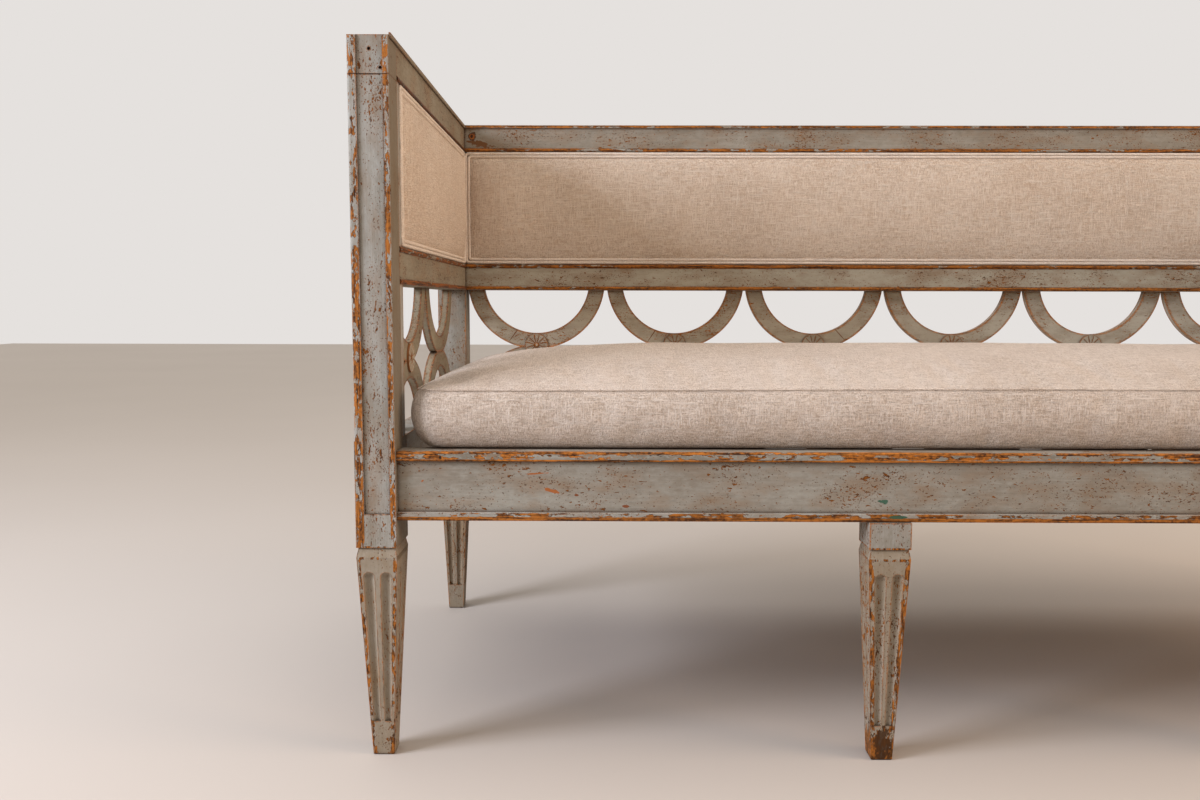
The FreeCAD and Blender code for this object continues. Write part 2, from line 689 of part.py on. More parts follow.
def arch_prism(length, rise, edge, back, depth, along):
    """A prism whose front is one long shallow arc over its length and whose back is flat."""
    corners = [FreeCAD.Vector(0, back, 0), FreeCAD.Vector(0, -edge, 0), FreeCAD.Vector(length, -edge, 0),
               FreeCAD.Vector(length, back, 0)]
    crown = Part.Arc(corners[1], FreeCAD.Vector(length / 2, -rise, 0), corners[2]).toShape()
    wire = Part.Wire([Part.LineSegment(corners[0], corners[1]).toShape(), crown,
                      Part.LineSegment(corners[2], corners[3]).toShape(),
                      Part.LineSegment(corners[3], corners[0]).toShape()])
    prism = Part.Face(wire).extrude(FreeCAD.Vector(0, 0, depth))
    if along == "z":
        prism.rotate(FreeCAD.Vector(), FreeCAD.Vector(0, 1, 0), -90.0)
        prism.translate(FreeCAD.Vector(depth, 0, 0))
    return prism


def welt_cords(x0, x1, z0, z1):
    """The double cord that covers the tacked edge of a panel: two closed rounded rectangles."""
    radius = size("welt_radius")
    gap = size("welt_gap")
    level = size("border_sink - panel_clearance - welt_radius")
    cords = []
    for turn in range(2):
        inset = gap + radius + turn * (2 * radius + gap)
        bend = size("welt_corner") + radius
        left, right, low, high = x0 + inset, x1 - inset, z0 + inset, z1 - inset
        corners = ((right - bend, low + bend, 3), (right - bend, high - bend, 0),
                   (left + bend, high - bend, 1), (left + bend, low + bend, 2))
        edges = []
        points = []
        for cx, cz, quarter in corners:
            swings = [(quarter + share) * math.pi / 2 for share in (0.0, 0.5, 1.0)]
            points.append([FreeCAD.Vector(cx + bend * math.cos(swing), level, cz + bend * math.sin(swing))
                           for swing in swings])
        for index, along in enumerate(points):
            edges.append(Part.Arc(*along).toShape())
            edges.append(Part.LineSegment(along[2], points[(index + 1) % 4][0]).toShape())
        path = Part.Wire(edges)
        start = points[0][0]
        ring = Part.Wire(Part.makeCircle(radius, start, FreeCAD.Vector(1, 0, 0)))
        shell = Part.BRepOffsetAPI.MakePipeShell(path)
        shell.add(ring)
        shell.build()
        cord = Part.Solid(Part.Shell(shell.shape().Faces))
        if cord.Volume < 0:
            cord.reverse()
        cords.append(cord)
    return cords


def upholstery(label_start, x_from, x_to, placement, stop_low="0", stop_high="0"):
    """The padded front, the double welt and the outer lining of one panel.

    The welt keeps clear of the frame's face at either end by the two stops.
    """
    gap = size("panel_clearance")
    x0, x1 = size(x_from), size(x_to)
    z0, z1 = size("mid_rail_top"), size("top_rail_bottom")
    border = size("panel_border")
    sink = size("border_sink")
    back = size("border_sink + panel_padding")
    base = Part.makeBox(x1 - x0 - 2 * gap, back - sink, z1 - z0 - 2 * gap,
                        FreeCAD.Vector(x0 + gap, sink, z0 + gap))
    start = x0 + size(stop_low)
    end = x1 - size(stop_high)
    long_side = end - start - 2 * border
    short_side = z1 - z0 - 2 * border
    edge = size("panel_edge_proud")
    rise = size("panel_crown")
    over_length = arch_prism(long_side, rise, edge, sink, short_side, "x")
    over_height = arch_prism(short_side, rise, edge, sink, long_side, "z")
    crown = over_length.common(over_height)
    crown.translate(FreeCAD.Vector(start + border, 0, z0 + border))
    shaped(label_start + "_padding", base.fuse(crown).removeSplitter(), placement)

    depth = size("frame_thickness")
    thin = size("lining_thickness")
    lining = Part.makeBox(x1 - x0 - 2 * gap, thin, z1 - z0 - 2 * gap,
                          FreeCAD.Vector(x0 + gap, depth - thin - size("lining_inset"), z0 + gap))
    shaped(label_start + "_lining", lining, placement)
    return welt_cords(start, end, z0, z1)


back_welt = upholstery("back_panel", "0", "back_length", BACK_PLACE)
shaped("back_panel_welt", Part.makeCompound(back_welt), BACK_PLACE)
left_welt = upholstery("left_arm_panel", "arm_panel_start", "arm_length", LEFT_ARM_PLACE,
                       stop_high="welt_stop")
right_welt = upholstery("right_arm_panel", "0", "arm_length - arm_panel_start", RIGHT_ARM_PLACE,
                        stop_low="welt_stop")
shaped("arm_panel_welts", Part.makeCompound(
    [cord.transformed(LEFT_ARM_PLACE.toMatrix()) for cord in left_welt]
    + [cord.transformed(RIGHT_ARM_PLACE.toMatrix()) for cord in right_welt]))

WEBBING_FACE = "(border_sink + panel_padding + panel_clearance)"
webbing = padded_body("back_panel_webbing", "YZ_Plane", (
    (WEBBING_FACE, "mid_rail_top + panel_clearance"),
    (WEBBING_FACE + " + webbing_thickness", "mid_rail_top + panel_clearance"),
    (WEBBING_FACE + " + webbing_thickness", "top_rail_bottom - panel_clearance"),
    (WEBBING_FACE, "top_rail_bottom - panel_clearance")), "back_length - 2 * panel_clearance")
piece("back_panel_webbing", webbing, standing(
    "panel_clearance - back_length / 2", "frame_depth / 2 - rear_post_depth"))


def cushion_section(x, crown_share, reach_share):
    """One cross-section of the cushion: flat underneath, boxed sides that bulge, and a crown."""
    depth = size("cushion_depth")
    box_height = size("cushion_box")
    draw = size("cushion_draw") * (1 - reach_share)
    corner = size("cushion_corner") * (1 - crown_share) ** 2 * (1 - reach_share)
    front = draw + corner
    rear = depth - draw - corner
    bulge = size("cushion_bulge")
    top = box_height + size("cushion_crown") * crown_share + (size("cushion_bulge") / 2) * (1 - crown_share)
    seam = [FreeCAD.Vector(x, front, 0), FreeCAD.Vector(x, front, box_height),
            FreeCAD.Vector(x, rear, box_height), FreeCAD.Vector(x, rear, 0)]
    middle = FreeCAD.Vector(x, front - bulge, box_height / 2)
    crown = FreeCAD.Vector(x, depth / 2, top)
    behind = FreeCAD.Vector(x, rear + bulge, box_height / 2)
    curves = [Part.Arc(seam[0], middle, seam[1]), Part.Arc(seam[1], crown, seam[2]),
              Part.Arc(seam[2], behind, seam[3]), Part.LineSegment(seam[3], seam[0])]
    return Part.Wire([curve.toShape() for curve in curves])


def seat_cushion():
    """The long loose cushion: its crown falls and its plan is drawn in towards each end."""
    half = size("back_length / 2 - cushion_end_gap")
    stations = [(-share, crown, reach) for share, crown, reach in CUSHION_STATION_SHARES]
    stations += [(share, crown, reach) for share, crown, reach in CUSHION_STATION_SHARES[-2::-1]]
    sections = [cushion_section(share * half, crown, reach) for share, crown, reach in stations]
    solid = Part.makeLoft(sections, True, False)
    placement = FreeCAD.Placement(
        FreeCAD.Vector(0, size("cushion_front - frame_depth / 2"), size("front_rail_top + cushion_lift")),
        FreeCAD.Rotation())
    shaped("seat_cushion", solid, placement)


seat_cushion()

document.recompute()

for item in document.Objects:
    if "Invalid" in item.State or "Error" in item.State:
        raise RuntimeError("%s did not build: %s" % (item.Label, item.State))

os.makedirs("parts", exist_ok=True)
for item in pieces:
    shape = item.Shape
    if shape.isNull() or not shape.isValid() or not shape.Solids:
        raise RuntimeError("%s has no sound solid" % item.Label)
    shape.exportStep("parts/%s.step" % item.Label)
print("pieces", len(pieces))
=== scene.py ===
import logging
import math
from dataclasses import dataclass, field
from enum import Enum
from typing import Any, Union

import bmesh
import bpy
import numpy as np
from mathutils import Matrix, Vector

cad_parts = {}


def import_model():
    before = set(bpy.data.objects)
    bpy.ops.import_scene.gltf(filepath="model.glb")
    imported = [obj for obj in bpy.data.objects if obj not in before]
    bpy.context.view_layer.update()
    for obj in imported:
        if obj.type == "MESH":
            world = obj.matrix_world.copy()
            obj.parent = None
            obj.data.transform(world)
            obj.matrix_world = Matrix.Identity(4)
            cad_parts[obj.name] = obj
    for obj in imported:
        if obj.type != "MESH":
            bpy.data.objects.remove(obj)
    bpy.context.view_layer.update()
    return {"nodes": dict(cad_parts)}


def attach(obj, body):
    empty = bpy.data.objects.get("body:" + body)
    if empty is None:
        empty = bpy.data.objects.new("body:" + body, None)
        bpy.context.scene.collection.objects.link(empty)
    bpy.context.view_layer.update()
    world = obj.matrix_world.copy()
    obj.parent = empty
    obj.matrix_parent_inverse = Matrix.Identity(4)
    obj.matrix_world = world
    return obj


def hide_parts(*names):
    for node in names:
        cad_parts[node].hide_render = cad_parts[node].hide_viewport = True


log = logging.getLogger("settee")
FRAME_BODY = "frame"
CUSHION_BODY = "cushion"
MM = 0.001
UP = 2  # the axis that heights lie on

Tree = bpy.types.NodeTree
Socket = bpy.types.NodeSocket
Source = Union[bpy.types.NodeSocket, bpy.types.Node]  # an output, or a node whose first output is meant
Coat = tuple[Source, Union[str, Socket]]  # the share that a coat of colour covers, and its colour


# ---------------------------------------------------------------- small helpers
def linear(hex_colour: str) -> tuple[float, float, float, float]:
    """Turn an sRGB hex colour into the linear colour that Blender's sockets take.

    Args:
        hex_colour: six hex digits after a hash sign.

    Returns:
        Red, green, blue and an alpha of 1.
    """
    parts = [int(hex_colour[place:place + 2], 16) / 255 for place in (1, 3, 5)]
    red, green, blue = (part / 12.92 if part <= 0.04045 else ((part + 0.055) / 1.055) ** 2.4 for part in parts)
    return red, green, blue, 1.0


def add(tree: Tree, kind: str, links: dict[Any, Any] | None = None, **settings: Any) -> bpy.types.Node:
    """Add one node to a tree, set it up and link it.

    Args:
        tree: the material's node tree.
        kind: the node's type name without its ShaderNode start.
        links: for each input, by name or number, a value, the output that feeds it, or a node
            whose first output does.
        settings: properties of the node itself.

    Returns:
        The new node.
    """
    node = tree.nodes.new("ShaderNode" + kind)
    for name, value in settings.items():
        setattr(node, name, value)
    for key, value in (links or {}).items():
        if isinstance(value, bpy.types.Node):
            value = value.outputs[0]
        if isinstance(value, bpy.types.NodeSocket):
            tree.links.new(value, node.inputs[key])
        else:
            node.inputs[key].default_value = value
    return node


def coats(tree: Tree, ground: str | Socket, *layers: Coat) -> Socket:
    """Lay coats of colour over a ground, one after another.

    Args:
        tree: the material's node tree.
        ground: the lowest colour, as a hex or as the output that carries it.
        layers: for each coat, the share that it covers and its colour.

    Returns:
        The output that carries the finished colour.
    """
    seen = ground
    for share, colour in layers:
        under, over = (linear(tone) if isinstance(tone, str) else tone for tone in (seen, colour))
        seen = add(tree, "Mix", {0: share, 6: under, 7: over}, data_type="RGBA").outputs[2]
    return seen


def blank_material(name: str) -> tuple[bpy.types.Material, Tree, Socket]:
    """Start a material with nothing in it but the object's own coordinates.

    Args:
        name: the material's name.

    Returns:
        The material, its node tree, and the output that carries the coordinates.
    """
    material = bpy.data.materials.new(name)
    material.use_nodes = True
    material.node_tree.nodes.clear()
    return material, material.node_tree, add(material.node_tree, "TexCoord").outputs["Object"]


def grid_faces(rows: int, columns: int, start: int = 0, flip: bool = False) -> np.ndarray:
    """Quads that join a grid of points stored row by row.

    Args:
        rows: points along the first parameter.
        columns: points along the second parameter.
        start: number of the grid's first point.
        flip: turn the faces over.

    Returns:
        An array with four point numbers in each line.
    """
    index = np.arange(rows * columns).reshape(rows, columns) + start
    quads = np.stack([index[:-1, :-1], index[1:, :-1], index[1:, 1:], index[:-1, 1:]], -1).reshape(-1, 4)
    return quads[:, ::-1] if flip else quads


def outline_ring(rows: int, columns: int) -> np.ndarray:
    """Numbers of a grid's outer points, in order round its edge, for a grid stored row by row."""
    index = np.arange(rows * columns).reshape(rows, columns)
    return np.concatenate([index[:-1, 0], index[-1, :-1], index[:0:-1, -1], index[0, :0:-1]])


def mesh_object(name: str, points: np.ndarray, faces: np.ndarray, smooth: bool = True) -> bpy.types.Object:
    """Put points and quads into a new mesh object at the origin.

    Args:
        name: the object's name.
        points: an array of places in metres.
        faces: an array of four point numbers in each line.
        smooth: shade the faces smooth.

    Returns:
        The linked object.
    """
    mesh = bpy.data.meshes.new(name)
    mesh.from_pydata(points.tolist(), [], faces.tolist())
    mesh.polygons.foreach_set("use_smooth", np.full(len(mesh.polygons), smooth))
    mesh.update()
    thing = bpy.data.objects.new(name, mesh)
    bpy.context.scene.collection.objects.link(thing)
    return thing


def slab(name: str, first: np.ndarray, second: np.ndarray) -> bpy.types.Object:
    """A thin closed piece: two grids of points as its faces, and a wall round their edges.

    Args:
        name: the object's name.
        first: one face's points, with rows and columns in the first two axes.
        second: the other face's points, in the same order.

    Returns:
        The piece, with its faces turned outwards.
    """
    rows, columns = first.shape[:2]
    total = rows * columns
    ring = outline_ring(rows, columns)
    after = np.roll(ring, -1)
    walls = np.stack([ring, ring + total, after + total, after], -1)
    faces = np.concatenate([grid_faces(rows, columns), grid_faces(rows, columns, total, True), walls])
    thing = mesh_object(name, np.concatenate([first.reshape(-1, 3), second.reshape(-1, 3)]), faces)
    work = bmesh.new()
    work.from_mesh(thing.data)
    bmesh.ops.recalc_face_normals(work, faces=work.faces)
    work.to_mesh(thing.data)
    work.free()
    return thing


def tube(name: str, path: np.ndarray, radius: float, sides: int) -> bpy.types.Object:
    """A round cord in a closed loop: at each point of the path, a circle across the path's direction.

    Args:
        name: the object's name.
        path: points in metres, the last of which joins the first.
        radius: the cord's radius.
        sides: points round the cord.

    Returns:
        The cord.
    """
    ahead = np.roll(path, -1, axis=0) - np.roll(path, 1, axis=0)
    ahead /= np.linalg.norm(ahead, axis=1, keepdims=True)
    # The circles are set out from an axis that the path never runs along.
    level = next(axis for axis in np.eye(3)[::-1] if np.abs(ahead @ axis).max() < 0.9)
    aside = np.cross(ahead, level)
    aside /= np.linalg.norm(aside, axis=1, keepdims=True)
    upward = np.cross(aside, ahead)
    turn = np.linspace(0, 2 * np.pi, sides, endpoint=False)[None, :, None]
    points = path[:, None] + radius * (aside[:, None] * np.cos(turn) + upward[:, None] * np.sin(turn))
    index = np.arange(len(path) * sides).reshape(-1, sides)
    following = np.roll(index, -1, axis=0)
    faces = np.stack([index, np.roll(index, -1, axis=1), np.roll(following, -1, axis=1), following], -1)
    return mesh_object(name, points.reshape(-1, 3), faces.reshape(-1, 4))


def read_points(mesh: bpy.types.Mesh) -> np.ndarray:
    """The places of a mesh's points.

    Args:
        mesh: the mesh to read.

    Returns:
        An array with X, Y and Z of one point in each line.
    """
    flat = np.empty(len(mesh.vertices) * 3)
    mesh.vertices.foreach_get("co", flat)
    return flat.reshape(-1, 3)


def write_points(mesh: bpy.types.Mesh, points: np.ndarray) -> None:
    """Move a mesh's points to new places."""
    mesh.vertices.foreach_set("co", points.ravel())
    mesh.update()


def smooth_noise(places: np.ndarray, lengths: tuple[float, float], seed: int, waves: int = 14) -> np.ndarray:
    """Gentle unevenness: a sum of plane waves with random directions, lengths and phases.

    Args:
        places: two coordinates of each point, in metres, in the last axis.
        lengths: shortest and longest wave, in metres.
        seed: picks the waves.
        waves: how many are summed.

    Returns:
        One value for each point, mostly between -1 and 1.
    """
    random = np.random.default_rng(seed)
    angle = random.uniform(0, 2 * np.pi, waves)
    number = 2 * np.pi / random.uniform(*lengths, waves)
    phase = random.uniform(0, 2 * np.pi, waves)
    across = places[..., :1] * (np.cos(angle) * number) + places[..., 1:2] * (np.sin(angle) * number)
    return np.sin(across + phase).sum(-1) / math.sqrt(waves)


def swelling(share: np.ndarray, powers: tuple[float, float]) -> np.ndarray:
    """A rise from 0 to 1 that is steep at first: 1 less a power of what is left, to a power again."""
    return (1 - (1 - share) ** powers[0]) ** powers[1]


# ---------------------------------------------------------------- finishes
class Grain(Enum):
    """Which way the wood's fibres or the yarns run."""

    ALONG_X = 0
    ALONG_Y = 1
    ALONG_Z = 2


def drawn_noise(tree: Tree, place: Socket, grain: Grain, across: float, along: float,
                **look: float) -> bpy.types.Node:
    """Noise that is drawn out one way, as fibres and yarns are.

    Args:
        tree: the material's node tree.
        place: the object's own coordinates.
        grain: the way that it is drawn out.
        across: the size of its spots across the grain, in metres.
        along: their size along the grain, in metres.
        look: further inputs of the noise, such as Detail.

    Returns:
        The noise's node.
    """
    scale = [1 / across] * 3
    scale[grain.value] = 1 / along
    drawn = add(tree, "Mapping", {"Vector": place, "Scale": scale})
    return add(tree, "TexNoise", {"Vector": drawn, "Scale": 1.0, **look})


@dataclass(frozen=True)
class RubbedBand:
    """A stretch along one axis where hands and dusters have taken the paint off."""

    axis: int
    low: float
    high: float
    strength: float
    mirrored: bool = False
    soft: float = 0.8 * MM
    above: float = -1.0

    def cover(self, tree: Tree, place: Socket) -> Source:
        """The band's strength: its full value between its limits, and 0 beyond them.

        Args:
            tree: the material's node tree.
            place: the object's own coordinates.

        Returns:
            The node that carries it.
        """
        split = add(tree, "SeparateXYZ", {0: place})
        along: Source = split.outputs[self.axis]
        if self.mirrored:
            along = add(tree, "Math", {0: along}, operation="ABSOLUTE")
        away = add(tree, "Math", {0: along, 1: (self.low + self.high) / 2}, operation="SUBTRACT")
        away = add(tree, "Math", {0: away}, operation="ABSOLUTE")
        half = (self.high - self.low) / 2
        inside = add(tree, "MapRange", {"Value": away, "From Min": half, "From Max": half - self.soft,
                                        "To Max": self.strength})
        if self.above > 0:
            over = add(tree, "Math", {0: split.outputs[UP], 1: self.above}, operation="GREATER_THAN")
            inside = add(tree, "Math", {0: inside, 1: over}, operation="MULTIPLY")
        return inside


@dataclass(frozen=True)
class RubbedTaper:
    """The rubbed arrises of a tapered leg, mirrored about the middle of the settee.

    Centre and half sizes are given in X and Y, first at the neck and then at the floor.
    """

    centre: tuple[float, float]
    half_top: tuple[float, float]
    half_foot: tuple[float, float] = (13.85 * MM, 13.6 * MM)
    height: float = 271 * MM
    width: float = 6 * MM
    strength: float = 0.5
    soft: float = 1.5 * MM

    def cover(self, tree: Tree, place: Socket) -> Source:
        """The taper's strength: full where both slanting sides are nearer than the width.

        Args:
            tree: the material's node tree.
            place: the object's own coordinates.

        Returns:
            The node that carries it.
        """
        split = add(tree, "SeparateXYZ", {0: place})
        height = split.outputs[UP]
        inward = []
        for axis in range(2):
            side: Source = split.outputs[axis]
            if axis == 0:
                side = add(tree, "Math", {0: side}, operation="ABSOLUTE")
            side = add(tree, "Math", {0: side, 1: self.centre[axis]}, operation="SUBTRACT")
            side = add(tree, "Math", {0: side}, operation="ABSOLUTE")
            slope = (self.half_top[axis] - self.half_foot[axis]) / self.height
            reach = add(tree, "Math", {0: height, 1: slope, 2: self.half_foot[axis]}, operation="MULTIPLY_ADD")
            inward.append(add(tree, "Math", {0: reach, 1: side}, operation="SUBTRACT"))
        # Shins rub the front more than the side, so the band is half as wide round the corner.
        round_corner = add(tree, "Math", {0: inward[1], 1: 2.0}, operation="MULTIPLY")
        further = add(tree, "Math", {0: inward[0], 1: round_corner}, operation="MAXIMUM")
        near = add(tree, "MapRange", {"Value": further, "From Min": self.width, "From Max": self.width - self.soft,
                                      "To Max": self.strength})
        under = add(tree, "Math", {0: height, 1: self.height}, operation="LESS_THAN")
        return add(tree, "Math", {0: near, 1: under}, operation="MULTIPLY")


@dataclass(frozen=True)
class PaintedShade:
    """A stretch along one axis, mirrored, that is darkened and tinted as painted shade.

    Where it lies in the paint, bare wood shows through it unchanged.
    """

    axis: int
    low: float
    high: float
    colour: str = "#6c5d46"
    share: float = 0.7
    in_paint: bool = False

    def cover(self, tree: Tree, place: Socket) -> Source:
        """How far the painted shade covers: its share between its limits, with sharp ends."""
        return RubbedBand(self.axis, self.low, self.high, self.share, True, 0.1 * MM).cover(tree, place)


@dataclass(frozen=True)
class Mark:
    """One chip, knot, hole or joint line on a face that looks forward: an ellipse, turned if need be."""

    x: float
    z: float
    half_width: float
    half_height: float
    colour: str
    angle: float = 0.0
    ragged: float = 1.0

    def cover(self, tree: Tree, place: Socket, fine: Source) -> Source:
        """Where the mark covers: inside its ellipse in X and Z, whose outline the fine noise breaks.

        Args:
            tree: the material's node tree.
            place: the object's own coordinates.
            fine: the noise that tears the outline.

        Returns:
            The node that carries it.
        """
        moved = add(tree, "Mapping", {"Vector": place, "Location": (-self.x, 0, -self.z)})
        turned = add(tree, "Mapping", {"Vector": moved, "Rotation": (0, self.angle, 0)})
        scaled = add(tree, "Mapping", {"Vector": turned, "Scale": (1 / self.half_width, 0, 1 / self.half_height)})
        far = add(tree, "VectorMath", {0: scaled}, operation="LENGTH").outputs["Value"]
        torn = add(tree, "Math", {0: fine, 1: -2.2 * self.ragged, 2: far}, operation="MULTIPLY_ADD")
        limit = 1 - 1.1 * self.ragged
        return add(tree, "MapRange", {"Value": torn, "From Min": limit + 0.06, "From Max": limit - 0.06,
                                      "To Max": 0.92})


class PaintNoise(Enum):
    """The noises in old painted wood: size across and along the grain in millimetres, and detail."""

    STREAKS = (2.5, 70, 3.0)
    FINE = (6, 11, 4.0)
    PATCHES = (60, 120, 5.0)
    CLOUDS = (22, 55, 4.0)
    CRACKLE = (3.2, 5, 3.0)
    CHECKS = (1.3, 42, 2.0)
    SWINGS = (160, 240, 1.0)
    CLUSTERS = (55, 90, 2.0)
    FLAKES = (3.4, 9, 2.0)
    SPECKS = (1.7, 2.6, 1.0)


@dataclass(frozen=True)
class OldPaintedWood:
    """Softwood under old blue-grey distemper, brushed on and rubbed through along its arrises.

    To the eye it is a dead matt, slightly mottled paint with orange-brown wood in broken lines along
    every edge, brown stains where the paint is thin, and small chips drawn out along the grain.
    """

    name: str
    grain: Grain = Grain.ALONG_X
    paint: str = "#a8a6a0"
    paint_dark: str = "#8e887d"
    stain: str = "#8a7158"
    # Thick old paint by a worn edge, made pale also as a painted highlight.
    thick_edge_and_highlight: str = "#b0b2ac"
    wood: str = "#b06c2a"
    wood_dark: str = "#4b2a12"
    check: str = "#22130a"
    rim: str = "#3b2110"
    edge_wear: float = 1.0
    edge_width: float = 4.6 * MM
    flake: tuple[float, float] = (7.0, 22.0)
    # The crease colour darkens creases where the ambient occlusion is low: dirt there, and painted shade.
    crease: str = "#432c1b"
    crease_from: float = 0.88
    crease_to: float = 0.45
    chips: float = 1.0
    bands: tuple[RubbedBand, ...] = ()
    tapers: tuple[RubbedTaper, ...] = ()
    painted_shade: tuple[PaintedShade, ...] = ()
    marks: tuple[Mark, ...] = ()

    def build(self) -> bpy.types.Material:
        """Make the material.

        Returns:
            The finished material.
        """
        material, tree, place = blank_material(self.name)
        streaks, fine, patches, cloud, crackle, checks = (self._noise(tree, place, *kind.value) for kind in (
            PaintNoise.STREAKS, PaintNoise.FINE, PaintNoise.PATCHES, PaintNoise.CLOUDS, PaintNoise.CRACKLE,
            PaintNoise.CHECKS))
        # Open sky seen from a point: 1 on flats and arrises, less in creases.
        open_sky = add(tree, "AmbientOcclusion", {"Distance": 7 * MM}, samples=5).outputs["AO"]
        wear, thin, rubbed = self._wear(tree, place, open_sky)
        # The flats: two tones in patches of a hand's width, broken by fine brushing.
        tone = self._sum(tree, (patches, 0.55), (fine, 0.34), (streaks, 0.2))
        flat = add(tree, "MapRange", {"Value": tone, "From Min": 0.43, "From Max": 0.65})
        # Brown stains where the paint is thin, round the chips and in slow clouds.
        tone = self._sum(tree, (cloud, 0.9), (thin, 0.55), (fine, 0.3))
        stained = add(tree, "MapRange", {"Value": tone, "From Min": 0.82, "From Max": 1.12, "To Max": 0.7})
        # Next to bare wood the old coats stand thick, pale blue-grey; the pale line is also a painted highlight where
        # their edge catches the light.
        thick_and_highlight = self._window(tree, wear, (0.34, 0.43, 0.47), 0.55)
        paint = coats(tree, self.paint_dark, (flat, self.paint), (stained, self.stain),
                      *self._shade_coats(tree, place, in_paint=True), (thick_and_highlight, self.thick_edge_and_highlight))
        # Bare wood: orange with dark fibres. A chip in a flat shows older, darker wood than an
        # arris that hands have rubbed, where fine checks run along the grain, nearly black.
        tone = self._sum(tree, (streaks, 0.7), (crackle, 0.5))
        tone = add(tree, "MapRange", {"Value": tone, "From Min": 0.49, "From Max": 0.68})
        fresh = add(tree, "MapRange", {"Value": rubbed, "To Min": 0.5})
        tone = add(tree, "Math", {0: tone, 1: fresh}, operation="MULTIPLY")
        checked = add(tree, "MapRange", {"Value": checks, "From Min": 0.57, "From Max": 0.64, "To Max": 0.85})
        checked = add(tree, "Math", {0: checked, 1: rubbed}, operation="MULTIPLY")
        wood = coats(tree, self.wood_dark, (tone, self.wood), (checked, self.check))
        # Under the flake's edge lies a thin dark line of dirt. The creases are darkened where the open sky is less,
        # partly dirt and partly painted shade.
        bare = add(tree, "MapRange", {"Value": wear, "From Min": 0.47, "From Max": 0.54})
        rim = self._window(tree, wear, (0.465, 0.5, 0.56), 0.7)
        dirt_and_shade = add(tree, "MapRange", {"Value": open_sky, "From Min": self.crease_from, "From Max": self.crease_to,
                                      "To Max": 0.85})
        colour = coats(tree, paint, (bare, wood), (rim, self.rim), (dirt_and_shade, self.crease),
                       *self._shade_coats(tree, place, in_paint=False),
                       *((mark.cover(tree, place, fine), mark.colour) for mark in self.marks))
        # Paint stands a fraction of a millimetre over the wood; brush ridges and grain show in both.
        height = self._sum(tree, (bare, -0.9), (streaks, 0.35), (fine, 0.6), (patches, 0.5), (crackle, 0.5))
        bump = add(tree, "Bump", {"Height": height, "Distance": 0.8 * MM, "Strength": 0.85})
        rough = add(tree, "MapRange", {"Value": bare, "To Min": 0.78, "To Max": 0.6})
        shader = add(tree, "BsdfPrincipled", {"Base Color": colour, "Roughness": rough, "Normal": bump,
                                              "Specular IOR Level": 0.2})
        add(tree, "OutputMaterial", {"Surface": shader})
        return material

    def _shade_coats(self, tree: Tree, place: Socket, in_paint: bool) -> list[Coat]:
        """The coats of the painted shade that lies in the paint, or else of the rest."""
        return [(dark.cover(tree, place), dark.colour) for dark in self.painted_shade if dark.in_paint is in_paint]

    def _noise(self, tree: Tree, place: Socket, across: float, along: float, detail: float) -> bpy.types.Node:
        """Noise of a given size in millimetres across this wood's grain and along it."""
        return drawn_noise(tree, place, self.grain, across * MM, along * MM, Detail=detail, Roughness=0.6)

    @staticmethod
    def _sum(tree: Tree, *terms: tuple[Source, float]) -> Source:
        """A sum of values, each times its own factor.

        Args:
            tree: the material's node tree.
            terms: each value with its factor.

        Returns:
            The node that carries the sum.
        """
        total: Any = 0.0
        for value, factor in terms:
            total = add(tree, "Math", {0: value, 1: factor, 2: total}, operation="MULTIPLY_ADD")
        return total

    @staticmethod
    def _window(tree: Tree, value: Source, limits: tuple[float, float, float], top: float) -> Source:
        """A tent over a value.

        Args:
            tree: the material's node tree.
            value: what the tent stands over.
            limits: the values where it starts, peaks and ends.
            top: its height at the peak.

        Returns:
            The node that carries it.
        """
        start, peak, end = limits
        rise = add(tree, "MapRange", {"Value": value, "From Min": start, "From Max": peak, "To Max": top})
        fall = add(tree, "MapRange", {"Value": value, "From Min": end, "From Max": peak})
        return add(tree, "Math", {0: rise, 1: fall}, operation="MULTIPLY")

    def _wear(self, tree: Tree, place: Socket, open_sky: Socket) -> tuple[Source, Source, Source]:
        """How far the paint has gone, from 0 to 1: most at arrises and rubbed bands, then in chips.

        Args:
            tree: the material's node tree.
            place: the object's own coordinates.
            open_sky: how open the point is, which keeps the wear out of creases.

        Returns:
            The wear, where chips gather, and where arrises and bands are rubbed.
        """
        # An arris is where the averaged normal leaves the face's own normal.
        bevel = add(tree, "Bevel", {"Radius": self.edge_width}, samples=6)
        own = add(tree, "NewGeometry").outputs["True Normal"]
        same = add(tree, "VectorMath", {0: bevel, 1: own}, operation="DOT_PRODUCT").outputs["Value"]
        edge = add(tree, "MapRange", {"Value": same, "From Min": 0.995, "From Max": 0.8, "To Max": self.edge_wear})
        proud = add(tree, "MapRange", {"Value": open_sky, "From Min": 0.7, "From Max": 0.92})
        amount = add(tree, "Math", {0: edge, 1: proud}, operation="MULTIPLY")
        for rub in (*self.bands, *self.tapers):
            amount = add(tree, "Math", {0: amount, 1: rub.cover(tree, place)}, operation="MAXIMUM")
        # Broken by noise of a flake's size, and by slow swings from well kept to rubbed bare.
        broken = self._noise(tree, place, *self.flake, 5.0)
        slow = self._noise(tree, place, *PaintNoise.SWINGS.value)
        shifted = self._sum(tree, (broken, 2.3), (slow, 1.0), (amount, 1.0))
        shifted = add(tree, "Math", {0: shifted, 1: 1.65}, operation="SUBTRACT")
        gate = add(tree, "MapRange", {"Value": amount, "From Min": 0.03, "From Max": 0.25})
        worn = add(tree, "Math", {0: shifted, 1: gate}, operation="MULTIPLY")
